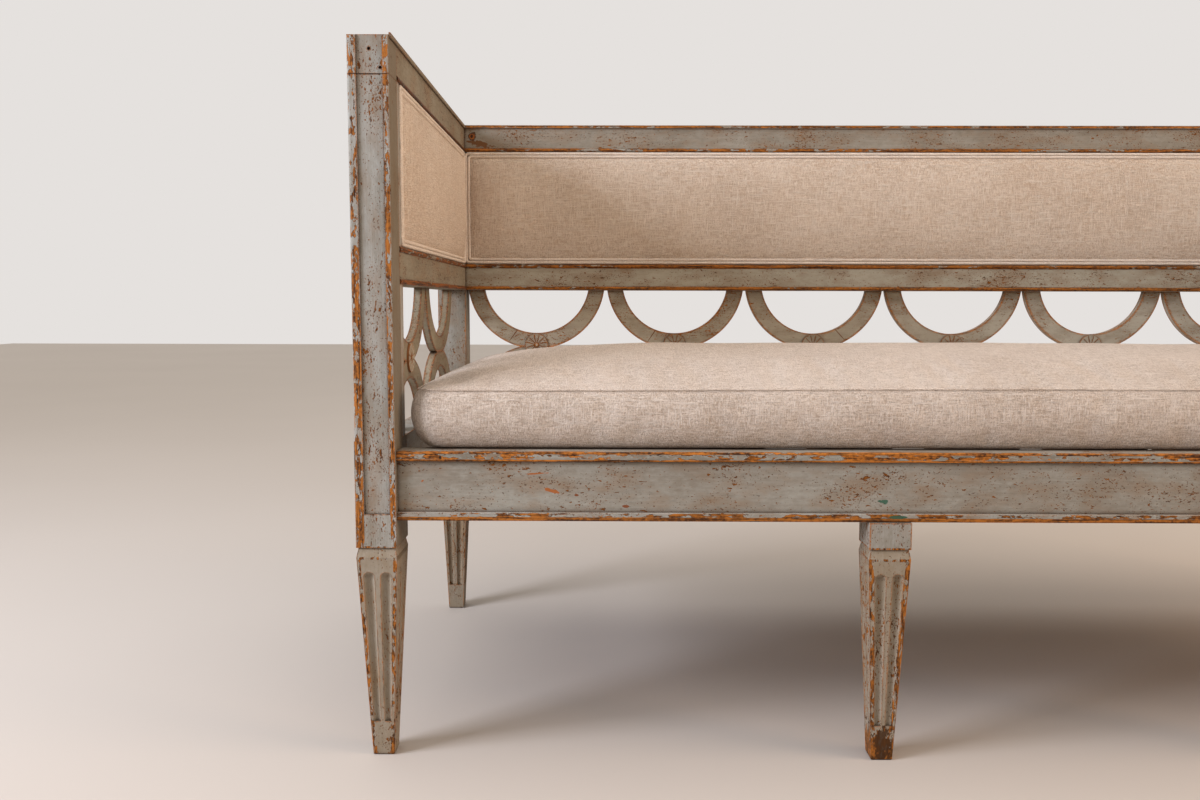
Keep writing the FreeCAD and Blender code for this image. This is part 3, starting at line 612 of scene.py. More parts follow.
        # Chips: flakes of 3 by 9 mm and specks of 2 mm, both in clusters a hand's width across.
        # Each shape shows where its noise passes a limit, which more chips make softer and lower.
        where = self._noise(tree, place, *PaintNoise.CLUSTERS.value)
        margin = 0.035
        for shape, need in ((PaintNoise.FLAKES, 0.875), (PaintNoise.SPECKS, 0.895)):
            both = self._sum(tree, (where, 0.38), (self._noise(tree, place, *shape.value), 1.0))
            low = need - margin * self.chips
            chip = add(tree, "MapRange", {"Value": both, "From Min": low, "From Max": low + margin, "To Max": 0.9})
            worn = add(tree, "Math", {0: worn, 1: chip}, operation="MAXIMUM")
        return worn, where, gate


@dataclass(frozen=True)
class SlubLinen:
    """Unbleached linen, plain woven from uneven yarn and washed.

    To the eye it is a soft pinkish beige with a faint crosshatch, a few thicker threads both ways,
    scattered brown flecks of stalk, and a slight bloom where it turns away.
    """

    name: str
    cloth: str
    cloth_dark: str
    fleck: str = "#7d5a40"
    thread: float = 1.25 * MM  # drawn about twice as coarse as real, so that it shows

    def build(self) -> bpy.types.Material:
        """Make the material.

        Returns:
            The finished material.
        """
        material, tree, place = blank_material(self.name)
        weave: Any = 0.0
        for along in reversed(Grain):
            weave = add(tree, "Math", {0: self._yarn(tree, place, along, 1.1, 11), 1: weave}, operation="ADD")
        for along in Grain:
            slub = add(tree, "MapRange", {"Value": self._yarn(tree, place, along, 1.4, 36), "From Min": 0.585,
                                          "From Max": 0.655, "To Max": 0.44})
            weave = add(tree, "Math", {0: slub, 1: weave}, operation="ADD")
        patches = add(tree, "TexNoise", {"Vector": place, "Scale": 1 / (150 * MM), "Detail": 3.0})
        tone = add(tree, "Math", {0: patches, 1: 0.45, 2: weave}, operation="MULTIPLY_ADD")
        light = add(tree, "MapRange", {"Value": tone, "From Min": 1.5, "From Max": 2.0})
        bits = add(tree, "TexNoise", {"Vector": place, "Scale": 1 / (3.2 * MM), "Detail": 1.0})
        stalk = add(tree, "MapRange", {"Value": bits, "From Min": 0.765, "From Max": 0.79, "To Max": 0.7})
        colour = coats(tree, self.cloth_dark, (light, self.cloth), (stalk, self.fleck))
        bump = add(tree, "Bump", {"Height": weave, "Distance": 1.2 * MM, "Strength": 1.0})
        shader = add(tree, "BsdfPrincipled", {"Base Color": colour, "Roughness": 0.92, "Normal": bump,
                                              "Sheen Weight": 0.15, "Sheen Roughness": 0.5,
                                              "Specular IOR Level": 0.2})
        add(tree, "OutputMaterial", {"Surface": shader})
        return material

    def _yarn(self, tree: Tree, place: Socket, along: Grain, wide: float, long: float) -> bpy.types.Node:
        """Uneven yarn: noise some threads wide and many threads long, the way that the yarn runs."""
        return drawn_noise(tree, place, along, wide * self.thread, long * self.thread, Detail=2.0)


@dataclass(frozen=True)
class ForgedIron:
    """Hand-cut iron nails, rusted brown-black: dark, pitted and dull."""

    name: str = "forged_iron"

    def build(self) -> bpy.types.Material:
        """Make the material.

        Returns:
            The finished material.
        """
        material, tree, place = blank_material(self.name)
        pits = add(tree, "TexNoise", {"Vector": place, "Scale": 1 / (1.5 * MM), "Detail": 4.0})
        rust = add(tree, "MapRange", {"Value": pits, "From Min": 0.4, "From Max": 0.65})
        bump = add(tree, "Bump", {"Height": pits, "Distance": 0.3 * MM})
        shader = add(tree, "BsdfPrincipled", {"Base Color": coats(tree, "#1d1613", (rust, "#5a331d")),
                                              "Roughness": 0.75, "Metallic": 0.35, "Normal": bump})
        add(tree, "OutputMaterial", {"Surface": shader})
        return material


@dataclass(frozen=True)
class SawnPine:
    """Bare softwood boards, sawn and aged brown in the dark under a seat, with long figured grain."""

    name: str
    grain: Grain

    def build(self) -> bpy.types.Material:
        """Make the material.

        Returns:
            The finished material.
        """
        material, tree, place = blank_material(self.name)
        figure = drawn_noise(tree, place, self.grain, 6 * MM, 220 * MM, Detail=5.0, Distortion=0.6)
        tone = add(tree, "MapRange", {"Value": figure, "From Min": 0.35, "From Max": 0.65})
        bump = add(tree, "Bump", {"Height": figure, "Distance": 0.5 * MM})
        shader = add(tree, "BsdfPrincipled", {"Base Color": coats(tree, "#6f4c2c", (tone, "#a87c4d")),
                                              "Roughness": 0.7, "Normal": bump})
        add(tree, "OutputMaterial", {"Surface": shader})
        return material


@dataclass(frozen=True)
class StudioFloor:
    """A pale matt studio floor with a barely uneven tone."""

    name: str = "studio_floor"

    def build(self) -> bpy.types.Material:
        """Make the material.

        Returns:
            The finished material.
        """
        material, tree, place = blank_material(self.name)
        cloud = add(tree, "TexNoise", {"Vector": place, "Scale": 0.8, "Detail": 2.0})
        shader = add(tree, "BsdfPrincipled", {"Base Color": coats(tree, "#c0b8b1", (cloud, "#c8c0b9")),
                                              "Roughness": 0.85})
        add(tree, "OutputMaterial", {"Surface": shader})
        return material


# ---------------------------------------------------------------- painted frame
# The finish of each wooden node, by a part of its name. The first that fits counts, and the last fits all.
FINISH_OF_NODE = {
    "cap_nails": "forged_iron",
    "seat_ledgers": "sawn_ledger",
    "seat_slats": "sawn_slat",
    "seat_bearers": "sawn_slat",
    "corner_blocks": "sawn_ledger",
    "upper_moulding": "rubbed_upper_moulding",
    "lower_moulding": "rubbed_lower_moulding",
    "rosettes": "painted_rosette",
    "upper_arcs": "painted_arm_arc_shaded",
    "lower_arcs": "painted_arm_arc_shaded",
    "_arc": "painted_arc_lit",
    "front_post": "painted_post",
    "post_cap": "painted_post",
    "mid_front_leg": "painted_middle_leg",
    "rear_post": "painted_leg",
    "stiles": "painted_stile",
    "back_mid_rail": "painted_mid_rail_lit",
    "side_seat_rail": "painted_side_rail",
    "seat_rail": "painted_seat_rail",
    "arm_": "painted_arm_rail",
    "": "painted_rail",
}


@dataclass
class PaintedFrame:
    """All the wooden nodes of the frame, which keep their CAD shape and get their finish here."""

    mid_rail: tuple[float, float] = (618 * MM, 667 * MM)
    top_rail: tuple[float, float] = (873 * MM, 916 * MM)
    post_faces: tuple[float, float] = (924 * MM, 976 * MM)
    leg_top: float = 283 * MM
    finishes: dict[str, bpy.types.Material] = field(default_factory=dict)

    @staticmethod
    def rubbed(*levels: tuple[float, float, float], soft: float = 0.8) -> tuple[RubbedBand, ...]:
        """Rubbed bands, each given by its lower and upper height in millimetres and its strength."""
        return tuple(RubbedBand(UP, low * MM, high * MM, strength, soft=soft * MM) for low, high, strength in levels)

    def build_finishes(self) -> None:
        """Make each finish once: one for each way the grain runs and each kind of wear."""
        (mid_low, mid_high), (top_low, top_high), (inner, outer) = self.mid_rail, self.top_rail, self.post_faces
        beads = (RubbedBand(UP, mid_low + 0.3 * MM, mid_low + 7.4 * MM, 0.9),
                 RubbedBand(UP, mid_high - 8.6 * MM, mid_high - 0.3 * MM, 0.7),
                 RubbedBand(UP, top_low + 0.3 * MM, top_low + 7.4 * MM, 0.7))
        strip = RubbedBand(UP, top_high + 0.5 * MM, top_high + 5.4 * MM, 0.74)
        borders = (RubbedBand(0, outer - 11.5 * MM, outer - 0.6 * MM, 0.56, True, above=self.leg_top),
                   RubbedBand(0, inner + 0.2 * MM, inner + 8 * MM, 0.6, True, above=self.leg_top))
        upper = self.rubbed((394, 397.6, 1.0), (403.4, 407.6, 0.9), (397, 404.4, 0.52))
        lower = self.rubbed((317, 323.8, 1.0), (323, 328.7, 0.48))
        collars = self.rubbed((267, 272.5, 0.4), soft=1.6) + self.rubbed((283, 286.5, 0.42), soft=1.2)
        foot = self.rubbed((-60, 64, 0.8), soft=40)
        # Below the seat the paint is tinted warmer and darker: painted shade under the seat, warmed as by light from
        # the floor.
        foot_shade = PaintedShade(UP, -self.leg_top, self.leg_top, "#98805e", 0.42, in_paint=True)
        # A painted shadow darkens the bead under the arm's top rail, in the gap over the panel.
        bead_shadow = PaintedShade(UP, top_low - 0.5 * MM, top_low + 5 * MM, "#24160c", 0.6)
        cap_joints = tuple(Mark(x, 0.8727, 27 * MM, 0.75 * MM, "#33231a", ragged=0.05) for x in (-0.95, 0.95))
        bare_feet = tuple(Mark(x, 0.018, 13 * MM, 30 * MM, "#45290f", ragged=1.7) for x in (-0.297, 0.297))
        along_x, along_y, along_z = Grain
        kinds = (
            # The rails take a darker copy of the paint, painted shade for the light that the top rail takes from above.
            OldPaintedWood("painted_rail", along_x, paint="#9c978c", paint_dark="#857d70", chips=0.8,
                           bands=(*beads, strip), marks=self.rail_marks()),
            # The arms' rails take an olive-brown copy of the paint: partly the paint's own tone, partly painted shade
            # on their inner faces.
            OldPaintedWood("painted_arm_rail", along_y, paint="#938c7c", paint_dark="#7b705e", wood="#94541f",
                           wood_dark="#34200f", bands=beads, painted_shade=(bead_shadow,)),
            OldPaintedWood("painted_post", along_z, bands=(*borders, *collars), chips=1.05, flake=(4.0, 12.0),
                           crease_from=0.8, marks=cap_joints,
                           # The post's inner side face is darkened olive as painted shade, on the side turned away from
                           # the light.
                           painted_shade=(PaintedShade(0, inner - 0.4 * MM, inner + 0.3 * MM), foot_shade),
                           tapers=(RubbedTaper((950 * MM, -303.5 * MM), (26.2 * MM, 34.6 * MM), strength=0.55),)),
            OldPaintedWood("painted_leg", along_z, paint="#9b9890", paint_dark="#827c70", chips=1.1,
                           edge_wear=0.95, flake=(4.5, 13.0), crease_from=0.72, painted_shade=(foot_shade,)),
            OldPaintedWood("painted_seat_rail", along_x, paint="#a29f96", paint_dark="#8a8276", chips=0.72,
                           marks=self.seat_rail_marks()),
            OldPaintedWood("painted_middle_leg", along_z, chips=2.2, edge_wear=0.9, flake=(4.5, 13.0),
                           crease_from=0.72, bands=(*foot, *collars), painted_shade=(foot_shade,), marks=bare_feet,
                           tapers=(RubbedTaper((297 * MM, -312 * MM), (26.7 * MM, 26.2 * MM), width=7 * MM,
                                               strength=0.58),)),
            OldPaintedWood("painted_side_rail", along_y),
            OldPaintedWood("painted_stile", along_z, paint="#a6a59f", chips=0.5),
            # The back's mid rail takes a lighter copy of the rails' paint, painted light for the shade that it lies in.
            OldPaintedWood("painted_mid_rail_lit", along_x, paint="#b2ad9e", paint_dark="#9d9483", bands=beads),
            OldPaintedWood("rubbed_upper_moulding", along_x, paint="#9a968d", paint_dark="#7c7569", wood="#c4782f",
                           wood_dark="#40220e", bands=upper,
                           marks=(Mark(-0.868, 0.3992, 1.9 * MM, 1.9 * MM, "#1a100a", ragged=0.3),)),
            OldPaintedWood("rubbed_lower_moulding", along_x, bands=lower,
                           marks=(Mark(-0.2894, 0.3248, 11 * MM, 1.9 * MM, "#2f5a48"),)),
            # The arm arcs take a darker copy of the arcs' paint and the back arcs a lighter one with brighter bare
            # wood: painted shade and painted light, as both are one paint.
            OldPaintedWood("painted_arm_arc_shaded", along_y, paint="#9b9380", paint_dark="#847b67", wood="#a0602a",
                           edge_width=8.5 * MM, edge_wear=1.7),
            OldPaintedWood("painted_arc_lit", along_x, paint="#cac4b4", paint_dark="#b7af9e", wood="#cf8036",
                           wood_dark="#85501f", chips=1.2, edge_width=9 * MM, edge_wear=1.9, marks=self.arc_marks()),
            # The rosettes share the back arcs' brighter bare wood and a lighter paint, painted light for their shade.
            OldPaintedWood("painted_rosette", along_x, paint="#bfb9a8", paint_dark="#aaa291", wood="#cf8036",
                           wood_dark="#85501f", edge_width=4 * MM, crease="#9a5a1e", crease_from=0.985,
                           crease_to=0.86),
            SawnPine("sawn_slat", along_y), SawnPine("sawn_ledger", along_x), ForgedIron())
        self.finishes = {kind.name: kind.build() for kind in kinds}

    @staticmethod
    def rail_marks() -> tuple[Mark, ...]:
        """The knot near the left end of the top rail, and the bare patch under it."""
        return (Mark(-0.909, 0.902, 7.2 * MM, 8 * MM, "#4a2a15", ragged=0.9),
                Mark(-0.9085, 0.902, 5 * MM, 5.4 * MM, "#a4602c", 0.4, 0.9),
                Mark(-0.9095, 0.9025, 2.4 * MM, 3 * MM, "#26150b", ragged=0.8),
                Mark(-0.893, 0.8865, 19 * MM, 4.4 * MM, "#6f4725", -0.2, 1.8))

    @staticmethod
    def seat_rail_marks() -> tuple[Mark, ...]:
        """The larger chips of the front rail, and a fleck of a green coat under the grey."""
        bare, older, green = "#a55c27", "#7d3f17", "#38604e"
        return (Mark(-0.748, 0.3783, 13 * MM, 1.1 * MM, bare, 0.07),
                Mark(-0.726, 0.3564, 9 * MM, 2.2 * MM, bare, -0.25),
                Mark(-0.696, 0.3508, 2.4 * MM, 1.5 * MM, older),
                Mark(-0.633, 0.3367, 3.6 * MM, 1.5 * MM, older),
                Mark(-0.892, 0.3683, 2 * MM, 1.3 * MM, bare, 0.5),
                Mark(-0.305, 0.3447, 4.5 * MM, 3.8 * MM, green, ragged=1.9))

    @staticmethod
    def arc_marks() -> tuple[Mark, ...]:
        """The scarf joints of the sawn arcs: fine brown lines across them."""
        joints = ((-0.8347, 0.5344, -0.634), (-0.570, 0.535, -0.6), (-0.2148, 0.5373, 0.746))
        return tuple(Mark(x, z, 0.8 * MM, 17 * MM, "#7d4a22", angle, 0.0) for x, z, angle in joints)

    def dress(self, nodes: dict[str, bpy.types.Object]) -> None:
        """Give every CAD node its finish.

        Args:
            nodes: the frame's nodes by name.
        """
        self.build_finishes()
        for name, thing in nodes.items():
            finish = next(kind for part_of_name, kind in FINISH_OF_NODE.items() if part_of_name in name)
            thing.data.materials.clear()
            thing.data.materials.append(self.finishes[finish])
            log.info("finish %s: %s", name, finish)


# ---------------------------------------------------------------- soft goods
@dataclass(frozen=True)
class Inflation:
    """How a closed cover is blown up as cloth by Blender's own simulation, and how much of it is kept."""

    pressure: float = 3.0
    cap: float = 5 * MM
    grow: float = 0.006
    stiffness: float = 20
    bending: float = 2.0
    mass: float = 0.25
    quality: int = 4
    frames: int = 20

    def settle(self, cover: bpy.types.Object, pinned: np.ndarray, lowest: float) -> None:
        """Blow up a cover, and move each of its points as far as the cap lets it.

        Args:
            cover: a closed mesh.
            pinned: numbers of the points that the seams hold.
            lowest: height of the surface that the cover rests on.
        """
        scene = bpy.context.scene
        start = read_points(cover.data)
        cover.vertex_groups.new(name="held").add(pinned.tolist(), 1.0, "REPLACE")
        cloth = cover.modifiers.new("cloth", "CLOTH")
        for name, value in {"quality": self.quality, "mass": self.mass, "tension_stiffness": self.stiffness,
                            "compression_stiffness": self.stiffness, "bending_stiffness": self.bending,
                            "use_pressure": True, "uniform_pressure_force": self.pressure,
                            "shrink_min": -self.grow, "vertex_group_mass": "held"}.items():
            setattr(cloth.settings, name, value)
        cloth.settings.effector_weights.gravity = 0
        cloth.collision_settings.use_collision = False
        cloth.point_cache.frame_start = 1
        cloth.point_cache.frame_end = self.frames
        for frame_number in range(1, self.frames + 1):
            scene.frame_set(frame_number)
        end = read_points(cover.evaluated_get(bpy.context.evaluated_depsgraph_get()).data)
        cover.modifiers.remove(cloth)
        cover.vertex_groups.clear()
        scene.frame_set(1)
        far = np.linalg.norm(end - start, axis=1, keepdims=True)
        kept = start + (end - start) * np.minimum(1, self.cap / np.maximum(far, 1e-9))
        kept[:, UP] = np.maximum(kept[:, UP], lowest)
        write_points(cover.data, kept)
        log.info("settled %s: moved up to %.1f mm, kept at most %.1f mm", cover.name, far.max() / MM, self.cap / MM)


@dataclass
class SeatCushion:
    """The long loose cushion: a crowned top and a boxed side sewn together, flat underneath.

    Pairs of sizes are for its ends, in X, and for its front and rear, in Y.
    """

    half_length: float = 904 * MM
    front: float = -318 * MM
    rear: float = 262 * MM
    bottom: float = 407.6 * MM
    seam: float = 483 * MM
    crown: float = 43 * MM
    unevenness: float = 1.0 * MM
    corner: float = 32 * MM
    end_slope: float = 390 * MM
    end_powers: tuple[float, float] = (2.6, 0.62)
    edge_powers: tuple[float, float] = (2.2, 0.75)
    bulge: tuple[float, float] = (10.5 * MM, 6.5 * MM)
    bulge_reach: float = 60 * MM
    bulge_power: float = 0.85
    turn_under_power: float = 4.5
    pull: float = 4 * MM
    tuck: float = 9 * MM
    pitch: float = 11 * MM
    side_rows: int = 7
    seam_radius: float = 0.7 * MM
    seam_pinch: float = 0.3 * MM
    seam_lift: float = 0.2 * MM

    @property
    def middle(self) -> float:
        """The middle of the cushion in Y."""
        return (self.front + self.rear) / 2

    @property
    def half_depth(self) -> float:
        """Half of its size in Y."""
        return (self.rear - self.front) / 2

    def plan(self) -> tuple[np.ndarray, np.ndarray]:
        """Points of the cushion's plan: a rectangle whose grid is bent round at its four corners.

        Within a corner's square a point (a, b) goes to (a sqrt(1 - b b / 2), b sqrt(1 - a a / 2)),
        which turns the square's outer edges into a quarter circle. Between the corners each side is
        then pulled in by a squared cosine of the distance along it.

        Returns:
            X and Y of each point of the grid, with Y counted from the cushion's middle.
        """
        x, y = np.meshgrid(*(np.linspace(-half, half, int(2 * half / self.pitch))
                             for half in (self.half_length, self.half_depth)), indexing="ij")
        a = np.clip((np.abs(x) - (self.half_length - self.corner)) / self.corner, 0, 1)
        b = np.clip((np.abs(y) - (self.half_depth - self.corner)) / self.corner, 0, 1)
        inner_x = np.minimum(np.abs(x), self.half_length - self.corner)
        inner_y = np.minimum(np.abs(y), self.half_depth - self.corner)
        x = np.sign(x) * (inner_x + self.corner * a * np.sqrt(1 - b * b / 2))
        y = np.sign(y) * (inner_y + self.corner * b * np.sqrt(1 - a * a / 2))
        drawn_x = 1 - self.pull / self.half_length * np.cos(y / self.half_depth * np.pi / 2) ** 2
        drawn_y = 1 - self.pull / self.half_depth * np.cos(x / self.half_length * np.pi / 2) ** 2
        return x * drawn_x, y * drawn_y

    def crown_height(self, x: np.ndarray, y: np.ndarray) -> np.ndarray:
        """Height of the top over its seam.

        It rises from the edge as a power of the distance to it, so the crown is full close to the
        edges and nearly level in the middle, with slow unevenness from the filling.

        Args:
            x: places along the cushion.
            y: places across it, from its middle.

        Returns:
            Heights in metres.
        """
        from_edge = 1 - np.clip(np.abs(y) / self.half_depth, 0, 1)
        from_end = np.clip((self.half_length - np.abs(x)) / self.end_slope, 0, 1)
        rise = swelling(from_edge, self.edge_powers) * swelling(from_end, self.end_powers)
        uneven = smooth_noise(np.stack([x, y + self.middle], -1), (0.16, 0.5), 7) * self.unevenness
        return self.crown * rise + uneven * np.minimum(rise * 2, 1)

    def shell(self) -> tuple[np.ndarray, np.ndarray, np.ndarray]:
        """The closed shell: top grid, bottom grid and the rows of the boxed side between them.

        The side bulges out as a half sine between its two seams, and turns under as a power of the
        way down, so that it does so near the lower one.

        Returns:
            Points, faces, and the numbers of the points along the upper seam.
        """
        x, y = self.plan()
        rows, columns = x.shape
        top = np.stack([x, y + self.middle, self.seam + self.crown_height(x, y)], -1).reshape(-1, 3)
        low = np.stack([x * (1 - self.tuck / self.half_length), self.middle + y * (1 - self.tuck / self.half_depth),
                        np.full_like(x, self.bottom)], -1).reshape(-1, 3)
        ring = outline_ring(rows, columns)
        outward = top[ring] * [1, 1, 0] - [0, self.middle, 0]
        inset = np.array([self.half_length, self.half_depth, 0]) - [self.bulge_reach, self.bulge_reach, 0]
        outward = np.sign(outward) * np.clip(np.abs(outward) - inset, 0, 1)
        outward /= np.linalg.norm(outward, axis=1, keepdims=True)
        share = np.linspace(0, 1, self.side_rows + 2)[1:-1, None, None]
        under = share ** self.turn_under_power
        drawn_in = top[ring] + (low[ring] - top[ring]) * np.concatenate([under, under, share], -1)
        side = drawn_in + outward * np.sin(share ** self.bulge_power * np.pi) * np.array([*self.bulge, 0])
        points = np.concatenate([top, low, side.reshape(-1, 3)])
        total = rows * columns
        between = 2 * total + np.arange(self.side_rows * len(ring)).reshape(self.side_rows, -1)
        levels = np.concatenate([[ring], between, [ring + total]])
        after = np.roll(levels, -1, axis=1)
        walls = np.stack([levels[:-1], levels[1:], after[1:], after[:-1]], -1).reshape(-1, 4)
        return points, np.concatenate([grid_faces(rows, columns), grid_faces(rows, columns, total, True), walls]), ring

    def build(self) -> bpy.types.Object:
        """Make the cushion: shell, cloth simulation, seam and finish.

        Returns:
            The finished cushion.
        """
        points, faces, ring = self.shell()
        cover = mesh_object("cushion_cover", points, faces)
        lower_ring = ring + (len(points) - len(ring) * self.side_rows) // 2
        Inflation().settle(cover, np.concatenate([ring, lower_ring]), self.bottom)
        # The points along the seam are drawn inwards a little, so that it lies in a crease.
        place = read_points(cover.data)
        pinch = self.seam_pinch / np.array([self.half_length, self.half_depth])
        place[ring, :2] -= (place[ring, :2] - [0, self.middle]) * pinch
        write_points(cover.data, place)
        # The seam's turned edge is a thin tube that follows them.
        seam = tube("cushion_seam", read_points(cover.data)[ring] + [0, 0, self.seam_lift], self.seam_radius, sides=8)
        smoothing = cover.modifiers.new("smooth", "SUBSURF")
        smoothing.levels = smoothing.render_levels = 1
        linen = SlubLinen("cushion_linen", cloth="#e7d9cd", cloth_dark="#b6a393").build()
        for piece in (cover, seam):
            piece.data.materials.append(linen)
            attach(piece, CUSHION_BODY)
        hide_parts("seat_cushion")
        return cover


class Wall(Enum):
    """The three upholstered walls, each with the start of its pieces' names."""

    BACK = "back_panel"
    LEFT_ARM = "left_arm_panel"
    RIGHT_ARM = "right_arm_panel"


@dataclass
class UpholsteredPanel:
    """A padded linen panel between two rails, with a double welt round it and a lining behind.

    Depths are counted from the rails' front face.
    """

    wall: Wall
    bottom: float = 667 * MM
    top: float = 873 * MM
    face: float = 286 * MM
    side_face: float = 924 * MM
    side_front: float = -281 * MM
    gap: float = 0.3 * MM
    crown: float = 10.5 * MM
    border: float = 11.4 * MM
    proud: float = 0.4 * MM
    sink: float = 3 * MM
    thickness: float = 26 * MM
    end_run: float = 70 * MM
    end_powers: tuple[float, float] = (2.4, 0.6)
    edge_powers: tuple[float, float] = (2.2, 0.7)
    pull: float = 0.55 * MM
    slack: float = 0.8 * MM
    pitch: float = 7 * MM
    welt_radius: float = 2.65 * MM
    welt_corner: float = 2.4 * MM
    welt_gap: float = 0.15 * MM
    welt_wave: float = 0.12 * MM
    lining_depth: float = 45 * MM
    lining_thickness: float = 1.4 * MM
    lining_slack: float = 0.35 * MM

    def span(self) -> tuple[float, float]:
        """Where the panel starts and ends along its wall, in X for the back and Y for an arm."""
        return (-self.side_face, self.side_face) if self.wall is Wall.BACK else (self.side_front, self.face)

    def put(self, along: np.ndarray, depth: np.ndarray, height: np.ndarray) -> np.ndarray:
        """Turn places on the wall into places in the room.

        Args:
            along: distance along the wall, in the axis that it runs along.
            depth: distance behind the rails' front face.
            height: height over the floor.

        Returns:
            X, Y and Z in the last axis.
        """
        if self.wall is Wall.BACK:
            return np.stack([along, self.face + depth, height], -1)
        side = -1 if self.wall is Wall.LEFT_ARM else 1
        return np.stack([side * (self.side_face + depth), along, height], -1)

    def grid(self, columns: int, rows: int) -> tuple[np.ndarray, np.ndarray, np.ndarray, np.ndarray]:
        """Points spread over the panel's opening.

        Args:
            columns: how many stand side by side along the wall.
            rows: how many stand over each other.

        Returns:
            For each point, its place along the wall, its height, and its distances to the nearer end
            and to the nearer rail.
        """
        start, end = self.span()
        along, height = np.meshgrid(np.linspace(start + self.gap, end - self.gap, columns),
                                    np.linspace(self.bottom + self.gap, self.top - self.gap, rows), indexing="ij")
        return (along, height, np.minimum(along - start, end - along),
                np.minimum(height - self.bottom, self.top - height))

    def padding(self) -> bpy.types.Object:
        """The stuffed front: a crowned sheet with pulls from its tacked edge, and a flat back.

        The front stands out by the crown times a power of the distance to the nearest edges, and
        ripples of 18 to 40 mm die away within about 25 mm of them.

        Returns:
            The padded piece.
        """
        start, end = self.span()
        along, height, from_end, from_rail = self.grid(int((end - start) / self.pitch),
                                                       int((self.top - self.bottom) / self.pitch) + 4)
        side, level = from_end - self.border, from_rail - self.border
        rise = (swelling(np.clip(side / self.end_run, 0, 1), self.end_powers)
                * swelling(np.clip(level / ((self.top - self.bottom) / 2 - self.border), 0, 1), self.edge_powers))
        near = np.minimum(side, level)
        ripple = smooth_noise(np.stack([along * 1.6, height * 0.25], -1), (0.018, 0.04), 11)
        pulls = ripple * np.exp(-np.maximum(near, 0) / (22 * MM)) * np.clip(near / (5 * MM), 0, 1) * self.pull
        slack = smooth_noise(np.stack([along, height], -1), (0.09, 0.3), 5) * self.slack * rise
        front = np.where(near > 0, -self.proud - self.crown * rise - pulls - slack, self.sink)
        back = np.full_like(front, self.sink + self.thickness)
        pad = slab(self.wall.value + "_cover", self.put(along, front, height), self.put(along, back, height))
        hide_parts(self.wall.value + "_padding")
        return pad

    def welt(self) -> list[bpy.types.Object]:
        """Two cords side by side round the panel, each on a rounded rectangle, slightly wavy.

        Returns:
            The outer cord and the inner one.
        """
        start, end = self.span()
        if self.wall is not Wall.BACK:
            end -= 3.2 * MM  # clear of the back's own cords
        cords = []
        for turn in range(2):
            inset = self.welt_gap + self.welt_radius + turn * (2 * self.welt_radius + self.welt_gap)
            along, height = self._rounded((start + inset, end - inset), (self.bottom + inset, self.top - inset))
            wave = smooth_noise(np.stack([along, height], -1), (0.03, 0.12), 21 + turn) * self.welt_wave
            cords.append(tube("%s_welt_%d" % (self.wall.value, turn + 1), self.put(along, 0.05 * MM + wave, height),
                              self.welt_radius, sides=12))
        return cords

    def _rounded(self, sides: tuple[float, float], levels: tuple[float, float]) -> tuple[np.ndarray, np.ndarray]:
        """A rounded rectangle as points: straight runs every 6 mm and eight steps at each corner.

        Args:
            sides: its lowest and highest place along the wall.
            levels: its lowest and highest height.

        Returns:
            For each point, its place along the wall and its height.
        """
        bend = self.welt_corner + self.welt_radius
        left, right = sides[0] + bend, sides[1] - bend
        low, high = levels[0] + bend, levels[1] - bend
        pieces = []
        for number, centre in enumerate(((right, high), (left, high), (left, low), (right, low))):
            angle = np.linspace(0, np.pi / 2, 9) + number * np.pi / 2
            pieces.append(np.array(centre) + bend * np.stack([np.cos(angle), np.sin(angle)], -1))
        path = []
        for piece, following in zip(pieces, pieces[1:] + pieces[:1]):
            steps = max(2, int(np.linalg.norm(following[0] - piece[-1]) / (6 * MM)))
            share = np.linspace(0, 1, steps + 1)[1:-1, None]
            path += [piece, piece[-1] * (1 - share) + following[0] * share]
        joined = np.concatenate(path)
        return joined[:, 0], joined[:, 1]

    def lining(self) -> bpy.types.Object:
        """The outer lining: a thin cloth panel, tacked flat at its edge and slack by a fraction of a millimetre.

        Returns:
            The lining.
        """
        start, end = self.span()
        along, height, from_end, from_rail = self.grid(int((end - start) / (14 * MM)), 18)
        loose = np.clip(np.minimum(from_end, from_rail) / (40 * MM), 0, 1)
        slack = smooth_noise(np.stack([along, height], -1), (0.07, 0.25), 3) * loose
        outer = self.lining_depth - self.lining_slack * (1 - slack)
        sheet = slab(self.wall.value + "_outer_lining", self.put(along, outer, height),
                     self.put(along, outer - self.lining_thickness, height))
        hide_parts(self.wall.value + "_lining")
        return sheet

    def build(self, linen: bpy.types.Material, piping: bpy.types.Material) -> list[bpy.types.Object]:
        """Make the panel's pieces and dress them.

        Args:
            linen: the cloth of the panel.
            piping: the same cloth cut on the bias for the welt, made paler as a painted highlight on its round cords.

        Returns:
            The pieces.
        """
        pad = self.padding()
        cords = self.welt()
        sheet = self.lining()
        for piece, slot in [(pad, "panel_linen"), (sheet, "lining_linen")] + [(cord, "welt_linen") for cord in cords]:
            piece.data.materials.append(piping if slot == "welt_linen" else linen)
            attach(piece, FRAME_BODY)
        for cord in cords:
            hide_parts("back_panel_welt" if self.wall is Wall.BACK else "arm_panel_welts")
        return [pad, sheet, *cords]


